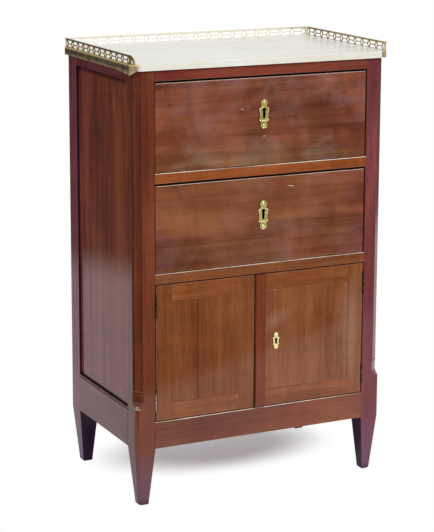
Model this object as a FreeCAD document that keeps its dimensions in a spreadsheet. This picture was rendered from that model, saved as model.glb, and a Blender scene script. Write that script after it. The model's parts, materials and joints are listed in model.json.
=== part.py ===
import FreeCAD, Part
import Sketcher
import math
import os
import re
from FreeCAD import Placement, Rotation, Vector

# Side cabinet: four square posts on tapered feet carry framed sides, two drawers
# and a pair of doors under a marble slab with a pierced brass gallery.
# Millimetres. The front faces -Y, +Z is up, and the origin is on the floor
# under the middle of the cabinet.

sizes = {
    # carcase
    "case_width": 550,
    "case_depth": 336,
    "post_size": 42,
    "foot_size": 20,
    "foot_round": 5,
    "apron_bottom": 118,
    "apron_height": 54.5,
    "door_opening": 277.5,
    "rail_height": 20.5,
    "drawer_opening": 177.5,
    "top_rail_height": 21,
    "top_rail_depth": 45,
    "drawer_rail_depth": 60,
    "rail_thick": 20,
    "skirt_height": 80,
    "back_rail_height": 40,
    "tenon_length": 18,
    "tenon_thick": 9,
    "tenon_inset": 6,
    "tenon_shoulder": 3,
    "overrun": 5,
    # stopped chamfer on the front posts
    "post_chamfer": 16.5,
    "corner_radius": 8,
    "scoop_rise": 87,
    "scoop_depth": 12.6,
    "scoop_height": 31,
    "nick_height": 1.6,
    "nick_proud": 1.5,
    # fine grooves on the rear posts and the quirk on the skirts
    "reed_first": 15,
    "reed_second": 30,
    "reed_width": 1.8,
    "reed_depth": 1.4,
    "quirk_drop": 3.4,
    # panels
    "side_recess": 5,
    "panel_thick": 9,
    "groove_depth": 6,
    "back_inset": 6,
    "back_thick": 8,
    # inside
    "runner_width": 45,
    "guide_height": 18,
    "dust_thick": 6,
    "floor_thick": 16,
    "shelf_height": 118,
    "shelf_thick": 14,
    "shelf_gap": 0.3,
    "batten": 12,
    "stop_thick": 5,
    "stop_depth": 15,
    "stop_width": 30,
    "stop_offset": 120,
    "stop_gap": 0.3,
    # marble slab
    "slab_thick": 13,
    "slab_front_overhang": 4,
    "slab_side_overhang": 2,
    "slab_cant": 14.5,
    "slab_round": 2,
    # brass gallery
    "band_thick": 4,
    "band_lap": 3.5,
    "band_left_drop": 4.5,
    "band_right_drop": -3.2,
    "band_sweep": 95,
    "band_sink": 0.5,
    "band_tip": 7,
    "fret_thick": 1.6,
    "fret_height": 14.9,
    "strand": 2,
    "eye_width": 7.6,
    "eye_gap": 2.4,
    "fret_margin": 4,
    "strut_run": 8.5,
    "cap_height": 2.6,
    "scroll_radius": 3.2,
    "scroll_height": 9.5,
    # drawers
    "front_thick": 20,
    "drawer_left_gap": 0.8,
    "drawer_right_gap": 3,
    "drawer_top_gap": 4.2,
    "drawer_foot_gap": 0.8,
    "running_gap": 0.3,
    "drawer_rear_gap": 11,
    "drawer_side_thick": 10,
    "drawer_side_drop": 27.2,
    "drawer_back_thick": 9,
    "drawer_back_drop": 8,
    "drawer_bottom_thick": 7,
    "drawer_bottom_raise": 9,
    "bottom_groove": 4,
    "tail_depth": 12,
    # doors
    "door_thick": 20,
    "door_gap": 2,
    "door_foot_gap": 2,
    "meeting_shift": -16,
    "meeting_gap": 3,
    "stile_width": 34,
    "door_rail_height": 34,
    "door_tenon": 16,
    "tongue_thick": 7,
    "tongue_inset": 6,
    "tongue_length": 6,
    "door_panel_thick": 16,
    "panel_joint": 0.4,
    "board_joint": -141,
    "strip_width": 22,
    "strip_proud": 3.5,
    "strip_round": 1.4,
    # hinges
    "hinge_length": 45,
    "hinge_inset": 42,
    "hinge_proud": 0.8,
    "knuckle_radius": 2.2,
    "knuckle_gap": 0.3,
    "pin_radius": 1,
    "pin_fit": 0.15,
    "leaf_thick": 1.5,
    "leaf_width": 19,
    # locks, keyholes and bolts
    "lock_width": 64,
    "lock_height": 88,
    "lock_thick": 11,
    "lock_drop": 1,
    "lock_bolt_width": 34,
    "lock_bolt_thick": 6,
    "lock_bolt_height": 42,
    "lock_throw": 9,
    "bolt_fit": 0.3,
    "mortise_fit": 0.8,
    "upper_key_drop": 63.4,
    "lower_key_drop": 66.6,
    "key_radius": 4,
    "key_slot_width": 6,
    "key_slot_length": 16.8,
    "key_pin_radius": 1.3,
    "plate_length": 58.5,
    "plate_width": 22,
    "plate_thick": 2.2,
    "door_key_inset": 46,
    "door_key_drop": 3,
    "door_key_radius": 3,
    "door_key_slot_width": 4.6,
    "door_key_slot_length": 10.4,
    "door_plate_length": 34.5,
    "door_plate_width": 14.5,
    "door_plate_thick": 1.8,
    "door_lock_length": 68,
    "door_lock_height": 60,
    "door_lock_inset": 1,
    "door_bolt_length": 44,
    "door_bolt_height": 12,
    "door_bolt_throw": 10,
    "keeper_width": 10,
    "keeper_inset": 1.5,
    "keeper_wall": 1.6,
    "slide_length": 84,
    "slide_width": 20,
    "slide_plate": 2,
    "slide_inset": 7,
    "slide_throw": 12,
    "slide_bolt_radius": 3,
    "slide_bolt_length": 100,
    "slide_bolt_drop": 2,
    "slide_loop_wall": 2,
    "slide_loop_length": 8,
    "slide_edge": 7,
    "slide_knob_radius": 3.4,
    "slide_knob_height": 7,
}

# Counts and shares: pierced openings along the gallery, dovetails, hinge knuckles.
fret_side_count = 12
fret_back_count = 20
shoulder_share = 0.62
tail_count = 3
tail_root_share = 0.19
tail_tip_share = 0.24
knuckle_count = 5
# Two places closer than this are the same place.
same = 1e-6

doc = FreeCAD.newDocument("side_cabinet")
sheet = doc.addObject("Spreadsheet::Sheet", "dim")
for row, (alias, number) in enumerate(sizes.items(), start=1):
    sheet.set(f"A{row}", alias)
    sheet.set(f"B{row}", str(number))
    sheet.setAlias(f"B{row}", alias)
doc.recompute()

nodes = {}


def terms(text):
    # Sizes written as plain words become references to the sheet.
    def refer(word):
        return f"dim.{word.group()}" if word.group() in sizes else word.group()
    return re.sub(r"[a-z_]+", refer, text)


def bind(item, prop, text):
    item.setExpression(prop, terms(text))


def size(alias):
    return float(sheet.get(alias))


def node(label, item):
    item.Label = label
    nodes[label] = item
    return item


# Planes of the carcase, as sums of sizes.

left = "-case_width / 2"
right = "case_width / 2"
front = "-case_depth / 2"
rear = "case_depth / 2"
skirt_top = "apron_bottom + skirt_height"
apron_top = "apron_bottom + apron_height"
doors_top = f"{apron_top} + door_opening"
lower_floor = f"{doors_top} + rail_height"
lower_top = f"{lower_floor} + drawer_opening"
upper_floor = f"{lower_top} + rail_height"
upper_top = f"{upper_floor} + drawer_opening"
case_top = f"{upper_top} + top_rail_height"
slab_top = f"{case_top} + slab_thick"
band_top = f"{slab_top} - band_sink"
meeting_left = "meeting_shift - meeting_gap / 2"
meeting_right = "meeting_shift + meeting_gap / 2"


def from_side(side, near, far):
    if side == "left":
        return (f"{left} + {near}", f"{left} + {far}")
    return (f"{right} - ({far})", f"{right} - ({near})")


def from_front(near, far):
    return (f"{front} + {near}", f"{front} + {far}")


def from_rear(near, far):
    return (f"{rear} - ({far})", f"{rear} - ({near})")


def from_end(end, near, far):
    return from_front(near, far) if end == "front" else from_rear(near, far)


def at_side(side, distance):
    return f"{left} + {distance}" if side == "left" else f"{right} - ({distance})"


# Solids that the pieces are made of.

def block(name, x, y, z):
    box = doc.addObject("Part::Box", name)
    for prop, axis, (low, high) in (("Length", "x", x), ("Width", "y", y), ("Height", "z", z)):
        bind(box, prop, f"({high}) - ({low})")
        bind(box, f"Placement.Base.{axis}", low)
    return box


def rod(name, radius, height, x, y, z, direction=Vector(0, 0, 1)):
    cylinder = doc.addObject("Part::Cylinder", name)
    cylinder.Placement = Placement(Vector(), Rotation(Vector(0, 0, 1), direction))
    bind(cylinder, "Radius", radius)
    bind(cylinder, "Height", height)
    for axis, place in (("x", x), ("y", y), ("z", z)):
        bind(cylinder, f"Placement.Base.{axis}", place)
    return cylinder


def joined(name, items):
    fused = doc.addObject("Part::MultiFuse", name)
    fused.Shapes = items
    fused.Refine = True
    return fused


def carved(name, base, tools):
    tool = tools[0] if len(tools) == 1 else joined(f"{name}_tools", tools)
    result = doc.addObject("Part::Cut", name)
    result.Base = base
    result.Tool = tool
    result.Refine = True
    return result


def group(name, items):
    together = doc.addObject("Part::Compound", name)
    together.Links = items
    return together


def prism(name, points, z):
    # An upright solid over a polygon whose corners are sums of sizes.
    body = doc.addObject("PartDesign::Body", name)
    plane = [item for item in body.Origin.OriginFeatures if item.Role == "XY_Plane"][0]
    sketch = body.newObject("Sketcher::SketchObject", f"{name}_outline")
    sketch.AttachmentSupport = (plane, [""])
    sketch.MapMode = "FlatFace"
    count = len(points)
    turn = 2 * math.pi / count
    spread = size("case_width")
    guess = [Vector(math.cos(i * turn), math.sin(i * turn), 0) * spread for i in range(count)]
    for i in range(count):
        sketch.addGeometry(Part.LineSegment(guess[i], guess[(i + 1) % count]))
    for i in range(count):
        sketch.addConstraint(Sketcher.Constraint("Coincident", i, 2, (i + 1) % count, 1))
    for i, (x, y) in enumerate(points):
        for kind, label, place in (("DistanceX", f"x_{i}", x), ("DistanceY", f"y_{i}", y)):
            start = guess[i].x if kind == "DistanceX" else guess[i].y
            index = sketch.addConstraint(Sketcher.Constraint(kind, i, 1, start))
            sketch.renameConstraint(index, label)
            bind(sketch, f"Constraints.{label}", place)
    pad = body.newObject("PartDesign::Pad", f"{name}_pad")
    pad.Profile = sketch
    bind(pad, "Length", f"({z[1]}) - ({z[0]})")
    bind(body, "Placement.Base.z", z[0])
    return body


def rounded(name, base, keep, radius):
    # Rounds the edges that the test keeps.
    doc.recompute()
    result = doc.addObject("Part::Fillet", name)
    result.Base = base
    picked = [i for i, edge in enumerate(base.Shape.Edges, start=1) if keep(edge)]
    result.Edges = [(i, radius, radius) for i in picked]
    return result


def shape_piece(name, shape):
    piece = doc.addObject("Part::Feature", name)
    piece.Shape = shape
    return piece


# Rails and panels of the carcase.

def cross_rail(name, y, z, tenon_y):
    # A rail between the left and right posts, with a tenon in each.
    inner = ("left", "right")
    tenon_z = (f"{z[0]} + tenon_shoulder", f"{z[1]} - tenon_shoulder")
    body = block(f"{name}_body", (at_side("left", "post_size"), at_side("right", "post_size")), y, z)
    tenons = [
        block(f"{name}_tenon", from_side(side, "post_size - tenon_length", "post_size"), tenon_y, tenon_z)
        for side in inner
    ]
    return joined(f"{name}_blank", [body] + tenons)


def side_rail(name, side, z):
    # A rail between the front and rear posts of one side, with a tenon in each.
    x = from_side(side, "0", "rail_thick")
    tenon_x = from_side(side, "tenon_inset", "tenon_inset + tenon_thick")
    tenon_z = (f"{z[0]} + tenon_shoulder", f"{z[1]} - tenon_shoulder")
    reach = "post_size - tenon_length"
    body = block(f"{name}_body", x, (from_front("0", "post_size")[1], from_rear("0", "post_size")[0]), z)
    tenon = block(f"{name}_tenon", tenon_x, (from_front("0", reach)[1], from_rear("0", reach)[0]), tenon_z)
    return joined(f"{name}_blank", [body, tenon])


between_posts_x = (at_side("left", "post_size"), at_side("right", "post_size"))
between_posts_y = (f"{front} + post_size", f"{rear} - post_size")
front_tenon_y = from_front("tenon_inset", "tenon_inset + tenon_thick")
rear_tenon_y = from_rear("tenon_inset", "tenon_inset + tenon_thick")

side_panels = {}
top_side_rails = {}
skirts = {}
for side in ("left", "right"):
    side_panels[side] = block(
        f"{side}_side_panel",
        from_side(side, "side_recess", "side_recess + panel_thick"),
        (f"{front} + post_size - groove_depth", f"{rear} - post_size + groove_depth"),
        (f"{skirt_top} - groove_depth", f"{upper_top} + groove_depth"),
    )
    node(f"{side}_side_panel", side_panels[side])
    top_blank = side_rail(f"{side}_top_rail", side, (upper_top, case_top))
    top_side_rails[side] = carved(f"{side}_top_rail", top_blank, [side_panels[side]])
    quirk = block(
        f"{side}_quirk",
        from_side(side, "-overrun", "reed_depth"),
        between_posts_y,
        (f"{skirt_top} - quirk_drop - reed_width", f"{skirt_top} - quirk_drop"),
    )
    skirt_blank = side_rail(f"{side}_skirt", side, ("apron_bottom", skirt_top))
    skirts[side] = node(f"{side}_skirt", carved(f"{side}_skirt", skirt_blank, [side_panels[side], quirk]))
node("side_top_rails", group("side_top_rails", list(top_side_rails.values())))

back_panel = node("back_panel", block(
    "back_panel",
    (at_side("left", "post_size - groove_depth"), at_side("right", "post_size - groove_depth")),
    from_rear("back_inset", "back_inset + back_thick"),
    (f"{apron_top} - groove_depth", f"{case_top} - back_rail_height + groove_depth"),
))
back_rails = []
for name, z in (
    ("back_top_rail", (f"{case_top} - back_rail_height", case_top)),
    ("back_skirt", ("apron_bottom", apron_top)),
):
    blank = cross_rail(name, from_rear("0", "rail_thick"), z, rear_tenon_y)
    back_rails.append(node(name, carved(name, blank, [back_panel])))

# Drawer beds: runners, dust panels between them, and guides beside the drawers.

runner_x = {
    side: from_side(side, "side_recess + panel_thick", "post_size + runner_width")
    for side in ("left", "right")
}
dust_panels = []
runners = []
guides = []
stops = []
for bed, rail_bottom, rail_top in (("lower", doors_top, lower_floor), ("upper", lower_top, upper_floor)):
    dust_low = f"{rail_bottom} + rail_height / 2 - dust_thick / 2"
    dust_panels.append(block(
        f"{bed}_dust_panel",
        (
            at_side("left", "post_size + runner_width - groove_depth"),
            at_side("right", "post_size + runner_width - groove_depth"),
        ),
        (f"{front} + drawer_rail_depth - groove_depth", f"{rear} - post_size"),
        (dust_low, f"{dust_low} + dust_thick"),
    ))
    for side in ("left", "right"):
        runner = block(
            f"{bed}_{side}_runner_blank", runner_x[side],
            (f"{front} + drawer_rail_depth", f"{rear} - post_size"), (rail_bottom, rail_top),
        )
        runners.append(carved(f"{bed}_{side}_runner", runner, [dust_panels[-1]]))
        guides.append(block(
            f"{bed}_{side}_guide", from_side(side, "side_recess + panel_thick", "post_size"),
            between_posts_y, (rail_top, f"{rail_top} + guide_height"),
        ))
        stops.append(block(
            f"{bed}_{side}_stop",
            from_side(side, "case_width / 2 - stop_offset - stop_width", "case_width / 2 - stop_offset"),
            from_front("front_thick + stop_gap", "front_thick + stop_gap + stop_depth"),
            (rail_top, f"{rail_top} + stop_thick"),
        ))
node("dust_panels", group("dust_panels", dust_panels))
node("drawer_runners", group("drawer_runners", runners))
node("drawer_guides", group("drawer_guides", guides))
node("drawer_stops", group("drawer_stops", stops))
node("top_kickers", group("top_kickers", [
    block(
        f"{side}_kicker", from_side(side, "rail_thick", "post_size + runner_width"),
        (f"{front} + top_rail_depth", f"{rear} - post_size"), (upper_top, case_top),
    )
    for side in ("left", "right")
]))

# Locks shoot upwards into the rail above, so the rails have a mortise each.

lock_bolt_y = (
    f"{front} + front_thick + lock_thick / 2 - lock_bolt_thick / 2",
    f"{front} + front_thick + lock_thick / 2 + lock_bolt_thick / 2",
)


def lock_mortise(name, rail_bottom):
    half = "lock_bolt_width / 2 + mortise_fit"
    return block(
        name, (f"-({half})", half), (f"{lock_bolt_y[0]} - mortise_fit", f"{lock_bolt_y[1]} + mortise_fit"),
        (rail_bottom, f"{rail_bottom} + lock_throw"),
    )


# The left door's slide bolts run in holes of the rail above and the floor below.

slide_x = f"{meeting_left} - slide_edge - slide_width / 2"
slide_y = f"{front} + door_thick + slide_plate + slide_bolt_radius + bolt_fit"
slide_hole = "slide_bolt_radius + bolt_fit * 2"
slide_top_hole = rod("slide_top_hole", slide_hole, "slide_throw", slide_x, slide_y, doors_top)
slide_foot_hole = rod(
    "slide_foot_hole", slide_hole, "slide_throw", slide_x, slide_y, f"{apron_top} - slide_throw")

front_rails = []
for name, depth, z, tools in (
    ("front_top_rail", "top_rail_depth", (upper_top, case_top), [lock_mortise("upper_mortise", upper_top)]),
    ("drawer_rail", "drawer_rail_depth", (lower_top, upper_floor),
     [lock_mortise("lower_mortise", lower_top), dust_panels[1]]),
    ("cupboard_rail", "drawer_rail_depth", (doors_top, lower_floor), [slide_top_hole, dust_panels[0]]),
    ("apron", "rail_thick", ("apron_bottom", apron_top), []),
):
    rail_blank = cross_rail(name, from_front("0", depth), z, front_tenon_y)
    rail = carved(name, rail_blank, tools) if tools else rail_blank
    front_rails.append(node(name, rail))

# Hinges: two leaves on a pin at each corner of the door opening.

def hinge(side, height):
    axis_x = at_side(side, "post_size + door_gap / 2")
    axis_y = f"{front} - hinge_proud"
    foot = f"{height} - hinge_length / 2"
    step = f"hinge_length / {knuckle_count}"
    plate_y = (f"{axis_y} + knuckle_radius + knuckle_gap", f"{axis_y} + leaf_width")
    bridge_y = (axis_y, plate_y[0])
    leaf_x = {
        "post": from_side(side, "post_size - leaf_thick", "post_size"),
        "door": from_side(side, "post_size + door_gap", "post_size + door_gap + leaf_thick"),
    }
    leaves = {}
    for turn, holder in enumerate(("post", "door")):
        parts = [block("leaf_plate", leaf_x[holder], plate_y, (foot, f"{foot} + hinge_length"))]
        for i in range(turn, knuckle_count, 2):
            low = f"{foot} + {step} * {i} + knuckle_gap / 2"
            tall = f"{step} - knuckle_gap"
            parts.append(rod("knuckle", "knuckle_radius", tall, axis_x, axis_y, low))
            parts.append(block("leaf_bridge", leaf_x[holder], bridge_y, (low, f"{low} + {tall}")))
        bore = rod("knuckle_bore", "pin_radius + pin_fit", "hinge_length", axis_x, axis_y, foot)
        leaves[holder] = carved(f"{side}_{holder}_leaf", joined("leaf_blank", parts), [bore])
    pin = rod(f"{side}_hinge_pin", "pin_radius", "hinge_length", axis_x, axis_y, foot)
    recess = rod(
        "knuckle_recess", "knuckle_radius + knuckle_gap", "hinge_length + knuckle_gap * 2",
        axis_x, axis_y, f"{foot} - knuckle_gap",
    )
    seats = {
        holder: block("leaf_seat", leaf_x[holder], (front, plate_y[1]), (foot, f"{foot} + hinge_length"))
        for holder in leaf_x
    }
    return leaves, pin, recess, seats


hinge_heights = (f"{apron_top} + hinge_inset", f"{doors_top} - hinge_inset")
hinges = {side: [hinge(side, height) for height in hinge_heights] for side in ("left", "right")}
all_hinges = hinges["left"] + hinges["right"]
node("hinge_post_leaves", group("hinge_post_leaves", [item[0]["post"] for item in all_hinges]))
node("hinge_pins", group("hinge_pins", [item[1] for item in all_hinges]))
for side in ("left", "right"):
    node(f"{side}_hinge_leaves", group(f"{side}_hinge_leaves", [item[0]["door"] for item in hinges[side]]))

# Posts: a square trunk, a leg that tapers on all four sides, and their mortises.

trunks = {}


def on_floor(edge):
    return all(abs(point.Z) < same for point in edge.Vertexes)


def leg_outline(side, width, level):
    # A square about the middle of a front post, with its outer front corner rounded.
    radius = size("corner_radius")
    way = -1 if side == "left" else 1
    x = way * (size("case_width") - size("post_size")) / 2
    y = (size("post_size") - size("case_depth")) / 2
    half = width / 2
    lift = radius * (1 - math.sqrt(1 / 2))
    outer, near = x + way * half, y - half
    inner, far = x - way * half, y + half
    starts = [
        Vector(outer - way * radius, near, level), Vector(inner, near, level), Vector(inner, far, level),
        Vector(outer, far, level), Vector(outer, near + radius, level),
    ]
    sides = [Part.makeLine(starts[i], starts[i + 1]) for i in range(len(starts) - 1)]
    corner = Part.Arc(starts[-1], Vector(outer - way * lift, near + lift, level), starts[0]).toShape()
    return Part.Wire(sides + [corner])


def front_leg(side):
    outlines = [
        leg_outline(side, size("foot_size"), 0),
        leg_outline(side, size("post_size"), size("apron_bottom")),
    ]
    shaft = shape_piece(f"front_{side}_shaft", Part.makeLoft(outlines, True, True))
    return rounded(f"front_{side}_foot", shaft, on_floor, size("foot_round"))


def rear_leg(side):
    x = at_side(side, "post_size / 2")
    y = from_rear("post_size / 2", "post_size / 2")[0]
    taper = doc.addObject("Part::Wedge", f"rear_{side}_leg")
    taper.Placement = Placement(Vector(), Rotation(Vector(1, 0, 0), 90))
    bind(taper, "Ymin", "0")
    bind(taper, "Ymax", "apron_bottom")
    for prop, middle in (("X", x), ("Z", f"-({y})")):
        for mark, half in (("", "foot_size / 2"), ("2", "post_size / 2")):
            bind(taper, f"{prop}{mark}min", f"{middle} - {half}")
            bind(taper, f"{prop}{mark}max", f"{middle} + {half}")

    return rounded(f"rear_{side}_foot", taper, on_floor, size("foot_round"))


def corner_prism(name, side, reach, z):
    # Cuts the outer front corner of a post back by the same reach on both faces.
    tool = doc.addObject("Part::Box", name)
    tool.Placement = Placement(Vector(), Rotation(Vector(0, 0, 1), 45))
    bind(tool, "Length", f"sqrt(2) * ({reach})")
    bind(tool, "Width", f"sqrt(2) * ({reach})")
    bind(tool, "Height", f"({z[1]}) - ({z[0]})")
    bind(tool, "Placement.Base.x", at_side(side, "0"))
    bind(tool, "Placement.Base.y", f"{front} - ({reach})")
    bind(tool, "Placement.Base.z", z[0])
    return tool


def chamfer_tools(side):
    # The chamfer ends in a small ridge over a hollow that sweeps out to the corner.
    hollow_z = "apron_bottom + scoop_rise + scoop_depth"
    nick_z = "apron_bottom + scoop_rise + scoop_height"
    arris_x = at_side(side, "0")
    way = Vector(1, -1, 0) if side == "left" else Vector(1, 1, 0)
    reach = "sqrt(2) * post_chamfer"
    start_y = f"{front} + {reach}" if side == "left" else f"{front} - {reach}"
    return [
        corner_prism("chamfer", side, "post_chamfer", (f"{nick_z} + nick_height", f"{case_top} + overrun")),
        corner_prism("nick", side, "post_chamfer - nick_proud", (nick_z, f"{nick_z} + nick_height")),
        corner_prism("scoop", side, "sqrt(2) * scoop_depth", (hollow_z, nick_z)),
        rod("scoop_end", "scoop_depth", "4 * post_chamfer", f"{arris_x} - {reach}", start_y, hollow_z, way),
    ]


def corner_tool(side):
    # Rounds the outer corner of a front post from its hollow down to the leg.
    z = ("apron_bottom", "apron_bottom + scoop_rise + scoop_depth")
    square = block(
        f"{side}_corner_square", from_side(side, "-overrun", "corner_radius"),
        from_front("-overrun", "corner_radius"), z)
    core = rod(
        f"{side}_corner_core", "corner_radius", f"({z[1]}) - ({z[0]})", at_side(side, "corner_radius"),
        f"{front} + corner_radius", z[0])
    return carved(f"{side}_corner_tool", square, [core])


def reed_tools(side):
    return [
        block(
            "reed", from_side(side, "-overrun", "reed_depth"),
            from_rear(f"{inset} - reed_width / 2", f"{inset} + reed_width / 2"),
            (skirt_top, f"{case_top} + overrun"),
        )
        for inset in ("reed_first", "reed_second")
    ]


for end, cross_rails in (("front", front_rails), ("rear", back_rails)):
    for side in ("left", "right"):
        trunk = block(
            f"{end}_{side}_trunk", from_side(side, "0", "post_size"), from_end(end, "0", "post_size"),
            ("apron_bottom", case_top),
        )
        trunks[end, side] = trunk
        tools = cross_rails + [top_side_rails[side], skirts[side], side_panels[side]]
        if end == "front":
            trunk = carved(f"front_{side}_turned", trunk, [corner_tool(side)])
            foot = front_leg(side)
            tools = tools + chamfer_tools(side)
            for leaves, pin, recess, seats in hinges[side]:
                tools = tools + [recess, seats["post"]]
        else:
            foot = rear_leg(side)
            tools = tools + [back_panel] + reed_tools(side)
        blank = joined(f"{end}_{side}_blank", [trunk, foot])
        node(f"{end}_{side}_post", carved(f"{end}_{side}_post", blank, tools))

# Cupboard floor between the skirts, notched round the posts, and the shelf on its battens.

floor_blank = block(
    "floor_blank",
    (at_side("left", "rail_thick"), at_side("right", "rail_thick")),
    (f"{front} + rail_thick", f"{rear} - rail_thick"),
    (f"{apron_top} - floor_thick", apron_top),
)
node("cupboard_floor", carved("cupboard_floor", floor_blank, list(trunks.values()) + [slide_foot_hole]))
shelf_low = f"{apron_top} + shelf_height"
inside_panel = "side_recess + panel_thick"
node("shelf", block(
    "shelf",
    (at_side("left", f"{inside_panel} + shelf_gap"), at_side("right", f"{inside_panel} + shelf_gap")),
    (f"{front} + post_size + shelf_gap", f"{rear} - post_size - shelf_gap"),
    (shelf_low, f"{shelf_low} + shelf_thick"),
))
node("shelf_battens", group("shelf_battens", [
    block(
        f"{side}_batten", from_side(side, inside_panel, f"{inside_panel} + batten"), between_posts_y,
        (f"{shelf_low} - batten", shelf_low),
    )
    for side in ("left", "right")
]))

# Keyholes and their cast plates.

def keyhole(name, x, z, radius, slot_width, slot_length, y):
    depth = f"({y[1]}) - ({y[0]})"
    head = rod(f"{name}_head", radius, depth, x, y[0], z, Vector(0, 1, 0))
    slot = block(
        f"{name}_slot", (f"{x} - {slot_width} / 2", f"{x} + {slot_width} / 2"), y,
        (f"{z} - ({slot_length})", z),
    )
    return joined(name, [head, slot])


# Half outline of a key plate from the top lobe down: shares of half width and half length.
plate_shares = (
    (0.00, 1.00), (0.40, 0.94), (0.64, 0.80), (0.62, 0.66), (0.48, 0.55), (0.70, 0.45), (0.98, 0.35),
    (0.92, 0.18), (0.80, -0.04), (0.83, -0.25), (0.93, -0.42), (0.74, -0.51), (0.56, -0.57),
    (0.66, -0.70), (0.62, -0.84), (0.36, -0.96), (0.00, -1.00),
)


def key_plate(name, x, z, length, width, thick):
    # Lobed top and bottom, shoulders between: a smooth closed curve through the shares.
    half_width = size(width) / 2
    half_length = size(length) / 2
    edge = [Vector(a * half_width, 0, b * half_length) for a, b in plate_shares]
    mirror = [Vector(-point.x, 0, point.z) for point in edge[-2:0:-1]]
    curve = Part.BSplineCurve()
    curve.interpolate(edge + mirror, PeriodicFlag=True)
    face = Part.Face(Part.Wire(curve.toShape()))
    plate = shape_piece(f"{name}_blank", face.extrude(Vector(0, -size(thick), 0)))
    bind(plate, "Placement.Base.x", x)
    bind(plate, "Placement.Base.y", front)
    bind(plate, "Placement.Base.z", z)
    return plate


# Drawers: front, dovetailed sides, back, bottom, key plate and lock.

def drawer(prefix, floor_level, top_level, key_drop):
    front_z = (f"{floor_level} + drawer_foot_gap", f"{top_level} - drawer_top_gap")
    outer = {side: f"post_size + drawer_{side}_gap" for side in ("left", "right")}
    inner = {side: f"{outer[side]} + drawer_side_thick" for side in outer}
    front_x = (at_side("left", outer["left"]), at_side("right", outer["right"]))
    side_low = f"{floor_level} + running_gap"
    side_tall = "(drawer_opening - running_gap - drawer_side_drop)"
    joint_y = f"{front} + front_thick"
    rear_y = f"{rear} - rail_thick - drawer_rear_gap"
    bottom_low = f"{side_low} + drawer_bottom_raise"
    grooved = {side: f"{inner[side]} - bottom_groove" for side in inner}
    bottom = node(f"{prefix}_drawer_bottom", block(
        f"{prefix}_drawer_bottom",
        (at_side("left", grooved["left"]), at_side("right", grooved["right"])),
        (f"{joint_y} - bottom_groove", rear_y),
        (bottom_low, f"{bottom_low} + drawer_bottom_thick"),
    ))
    boards = []
    for side in ("left", "right"):
        x = from_side(side, outer[side], inner[side])
        parts = [block(f"{prefix}_{side}_board", x, (joint_y, rear_y),
                       (side_low, f"{side_low} + {side_tall}"))]
        for i in range(tail_count):
            middle = f"{side_low} + {side_tall} * {(2 * i + 1) / (2 * tail_count)}"
            tail = doc.addObject("Part::Wedge", f"{prefix}_{side}_tail")
            for prop, text in (
                ("Xmin", x[0]), ("Xmax", x[1]), ("X2min", x[0]), ("X2max", x[1]),
                ("Ymin", f"{joint_y} - tail_depth"), ("Ymax", joint_y),
                ("Zmin", f"{middle} - {side_tall} * {tail_tip_share / 2}"),
                ("Zmax", f"{middle} + {side_tall} * {tail_tip_share / 2}"),
                ("Z2min", f"{middle} - {side_tall} * {tail_root_share / 2}"),
                ("Z2max", f"{middle} + {side_tall} * {tail_root_share / 2}"),
            ):
                bind(tail, prop, text)
            parts.append(tail)
        boards.append(carved(f"{prefix}_{side}_side", joined(f"{prefix}_{side}_tailed", parts), [bottom]))
    node(f"{prefix}_drawer_sides", group(f"{prefix}_drawer_sides", boards))
    node(f"{prefix}_drawer_back", block(
        f"{prefix}_drawer_back",
        (at_side("left", inner["left"]), at_side("right", inner["right"])),
        (f"{rear_y} - drawer_back_thick", rear_y),
        (f"{bottom_low} + drawer_bottom_thick", f"{side_low} + {side_tall} - drawer_back_drop"),
    ))
    key_z = f"{front_z[1]} - {key_drop}"
    key_size = ("key_radius", "key_slot_width", "key_slot_length")
    board_hole = keyhole(f"{prefix}_board_keyhole", "0", key_z, *key_size, (front, joint_y))
    blank = block(f"{prefix}_front_blank", front_x, (front, joint_y), front_z)
    node(f"{prefix}_drawer_front",
         carved(f"{prefix}_drawer_front", blank, boards + [bottom, board_hole]))
    plate_hole = keyhole(
        f"{prefix}_plate_keyhole", "0", key_z, *key_size, (f"{front} - plate_thick - overrun", front))
    plate = key_plate(
        f"{prefix}_plate", "0", f"{key_z} - key_radius - plate_thick * 2", "plate_length", "plate_width",
        "plate_thick")
    node(f"{prefix}_escutcheon", carved(f"{prefix}_escutcheon", plate, [plate_hole]))
    lock_top = f"{front_z[1]} - lock_drop"
    case = block(
        f"{prefix}_lock_body", ("-lock_width / 2", "lock_width / 2"),
        (joint_y, f"{joint_y} + lock_thick"), (f"{lock_top} - lock_height", lock_top))
    key_pin = rod(
        f"{prefix}_key_pin", "key_pin_radius", "front_thick / 2 + lock_thick / 2", "0",
        f"{joint_y} - front_thick / 2", key_z, Vector(0, 1, 0))
    bolt_x = ("-lock_bolt_width / 2", "lock_bolt_width / 2")
    bolt_top = f"{lock_top} - bolt_fit"
    channel = block(
        f"{prefix}_bolt_channel",
        (f"{bolt_x[0]} - bolt_fit", f"{bolt_x[1]} + bolt_fit"),
        (f"{lock_bolt_y[0]} - bolt_fit", f"{lock_bolt_y[1]} + bolt_fit"),
        (f"{bolt_top} - lock_bolt_height - bolt_fit", f"{lock_top} + overrun"))
    hollow_case = carved(f"{prefix}_lock_hollow", case, [channel])
    node(f"{prefix}_lock_case", joined(f"{prefix}_lock_case", [hollow_case, key_pin]))
    node(f"{prefix}_lock_bolt", block(
        f"{prefix}_lock_bolt", bolt_x, lock_bolt_y, (f"{bolt_top} - lock_bolt_height", bolt_top)))


drawer("upper", upper_floor, upper_top, "upper_key_drop")
drawer("lower", lower_floor, lower_top, "lower_key_drop")

# Doors: stiles, rails and a flush panel whose tongue runs in their grooves.

door_y = from_front("0", "door_thick")
door_back = f"{front} + door_thick"
door_low = f"{apron_top} + door_foot_gap"
door_high = f"{doors_top} - door_foot_gap"
door_x = {
    "left": (at_side("left", "post_size + door_gap"), meeting_left),
    "right": (meeting_right, at_side("right", "post_size + door_gap")),
}
stile_widths = {"left": ("stile_width", "stile_width"), "right": ("strip_width", "stile_width")}


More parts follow.
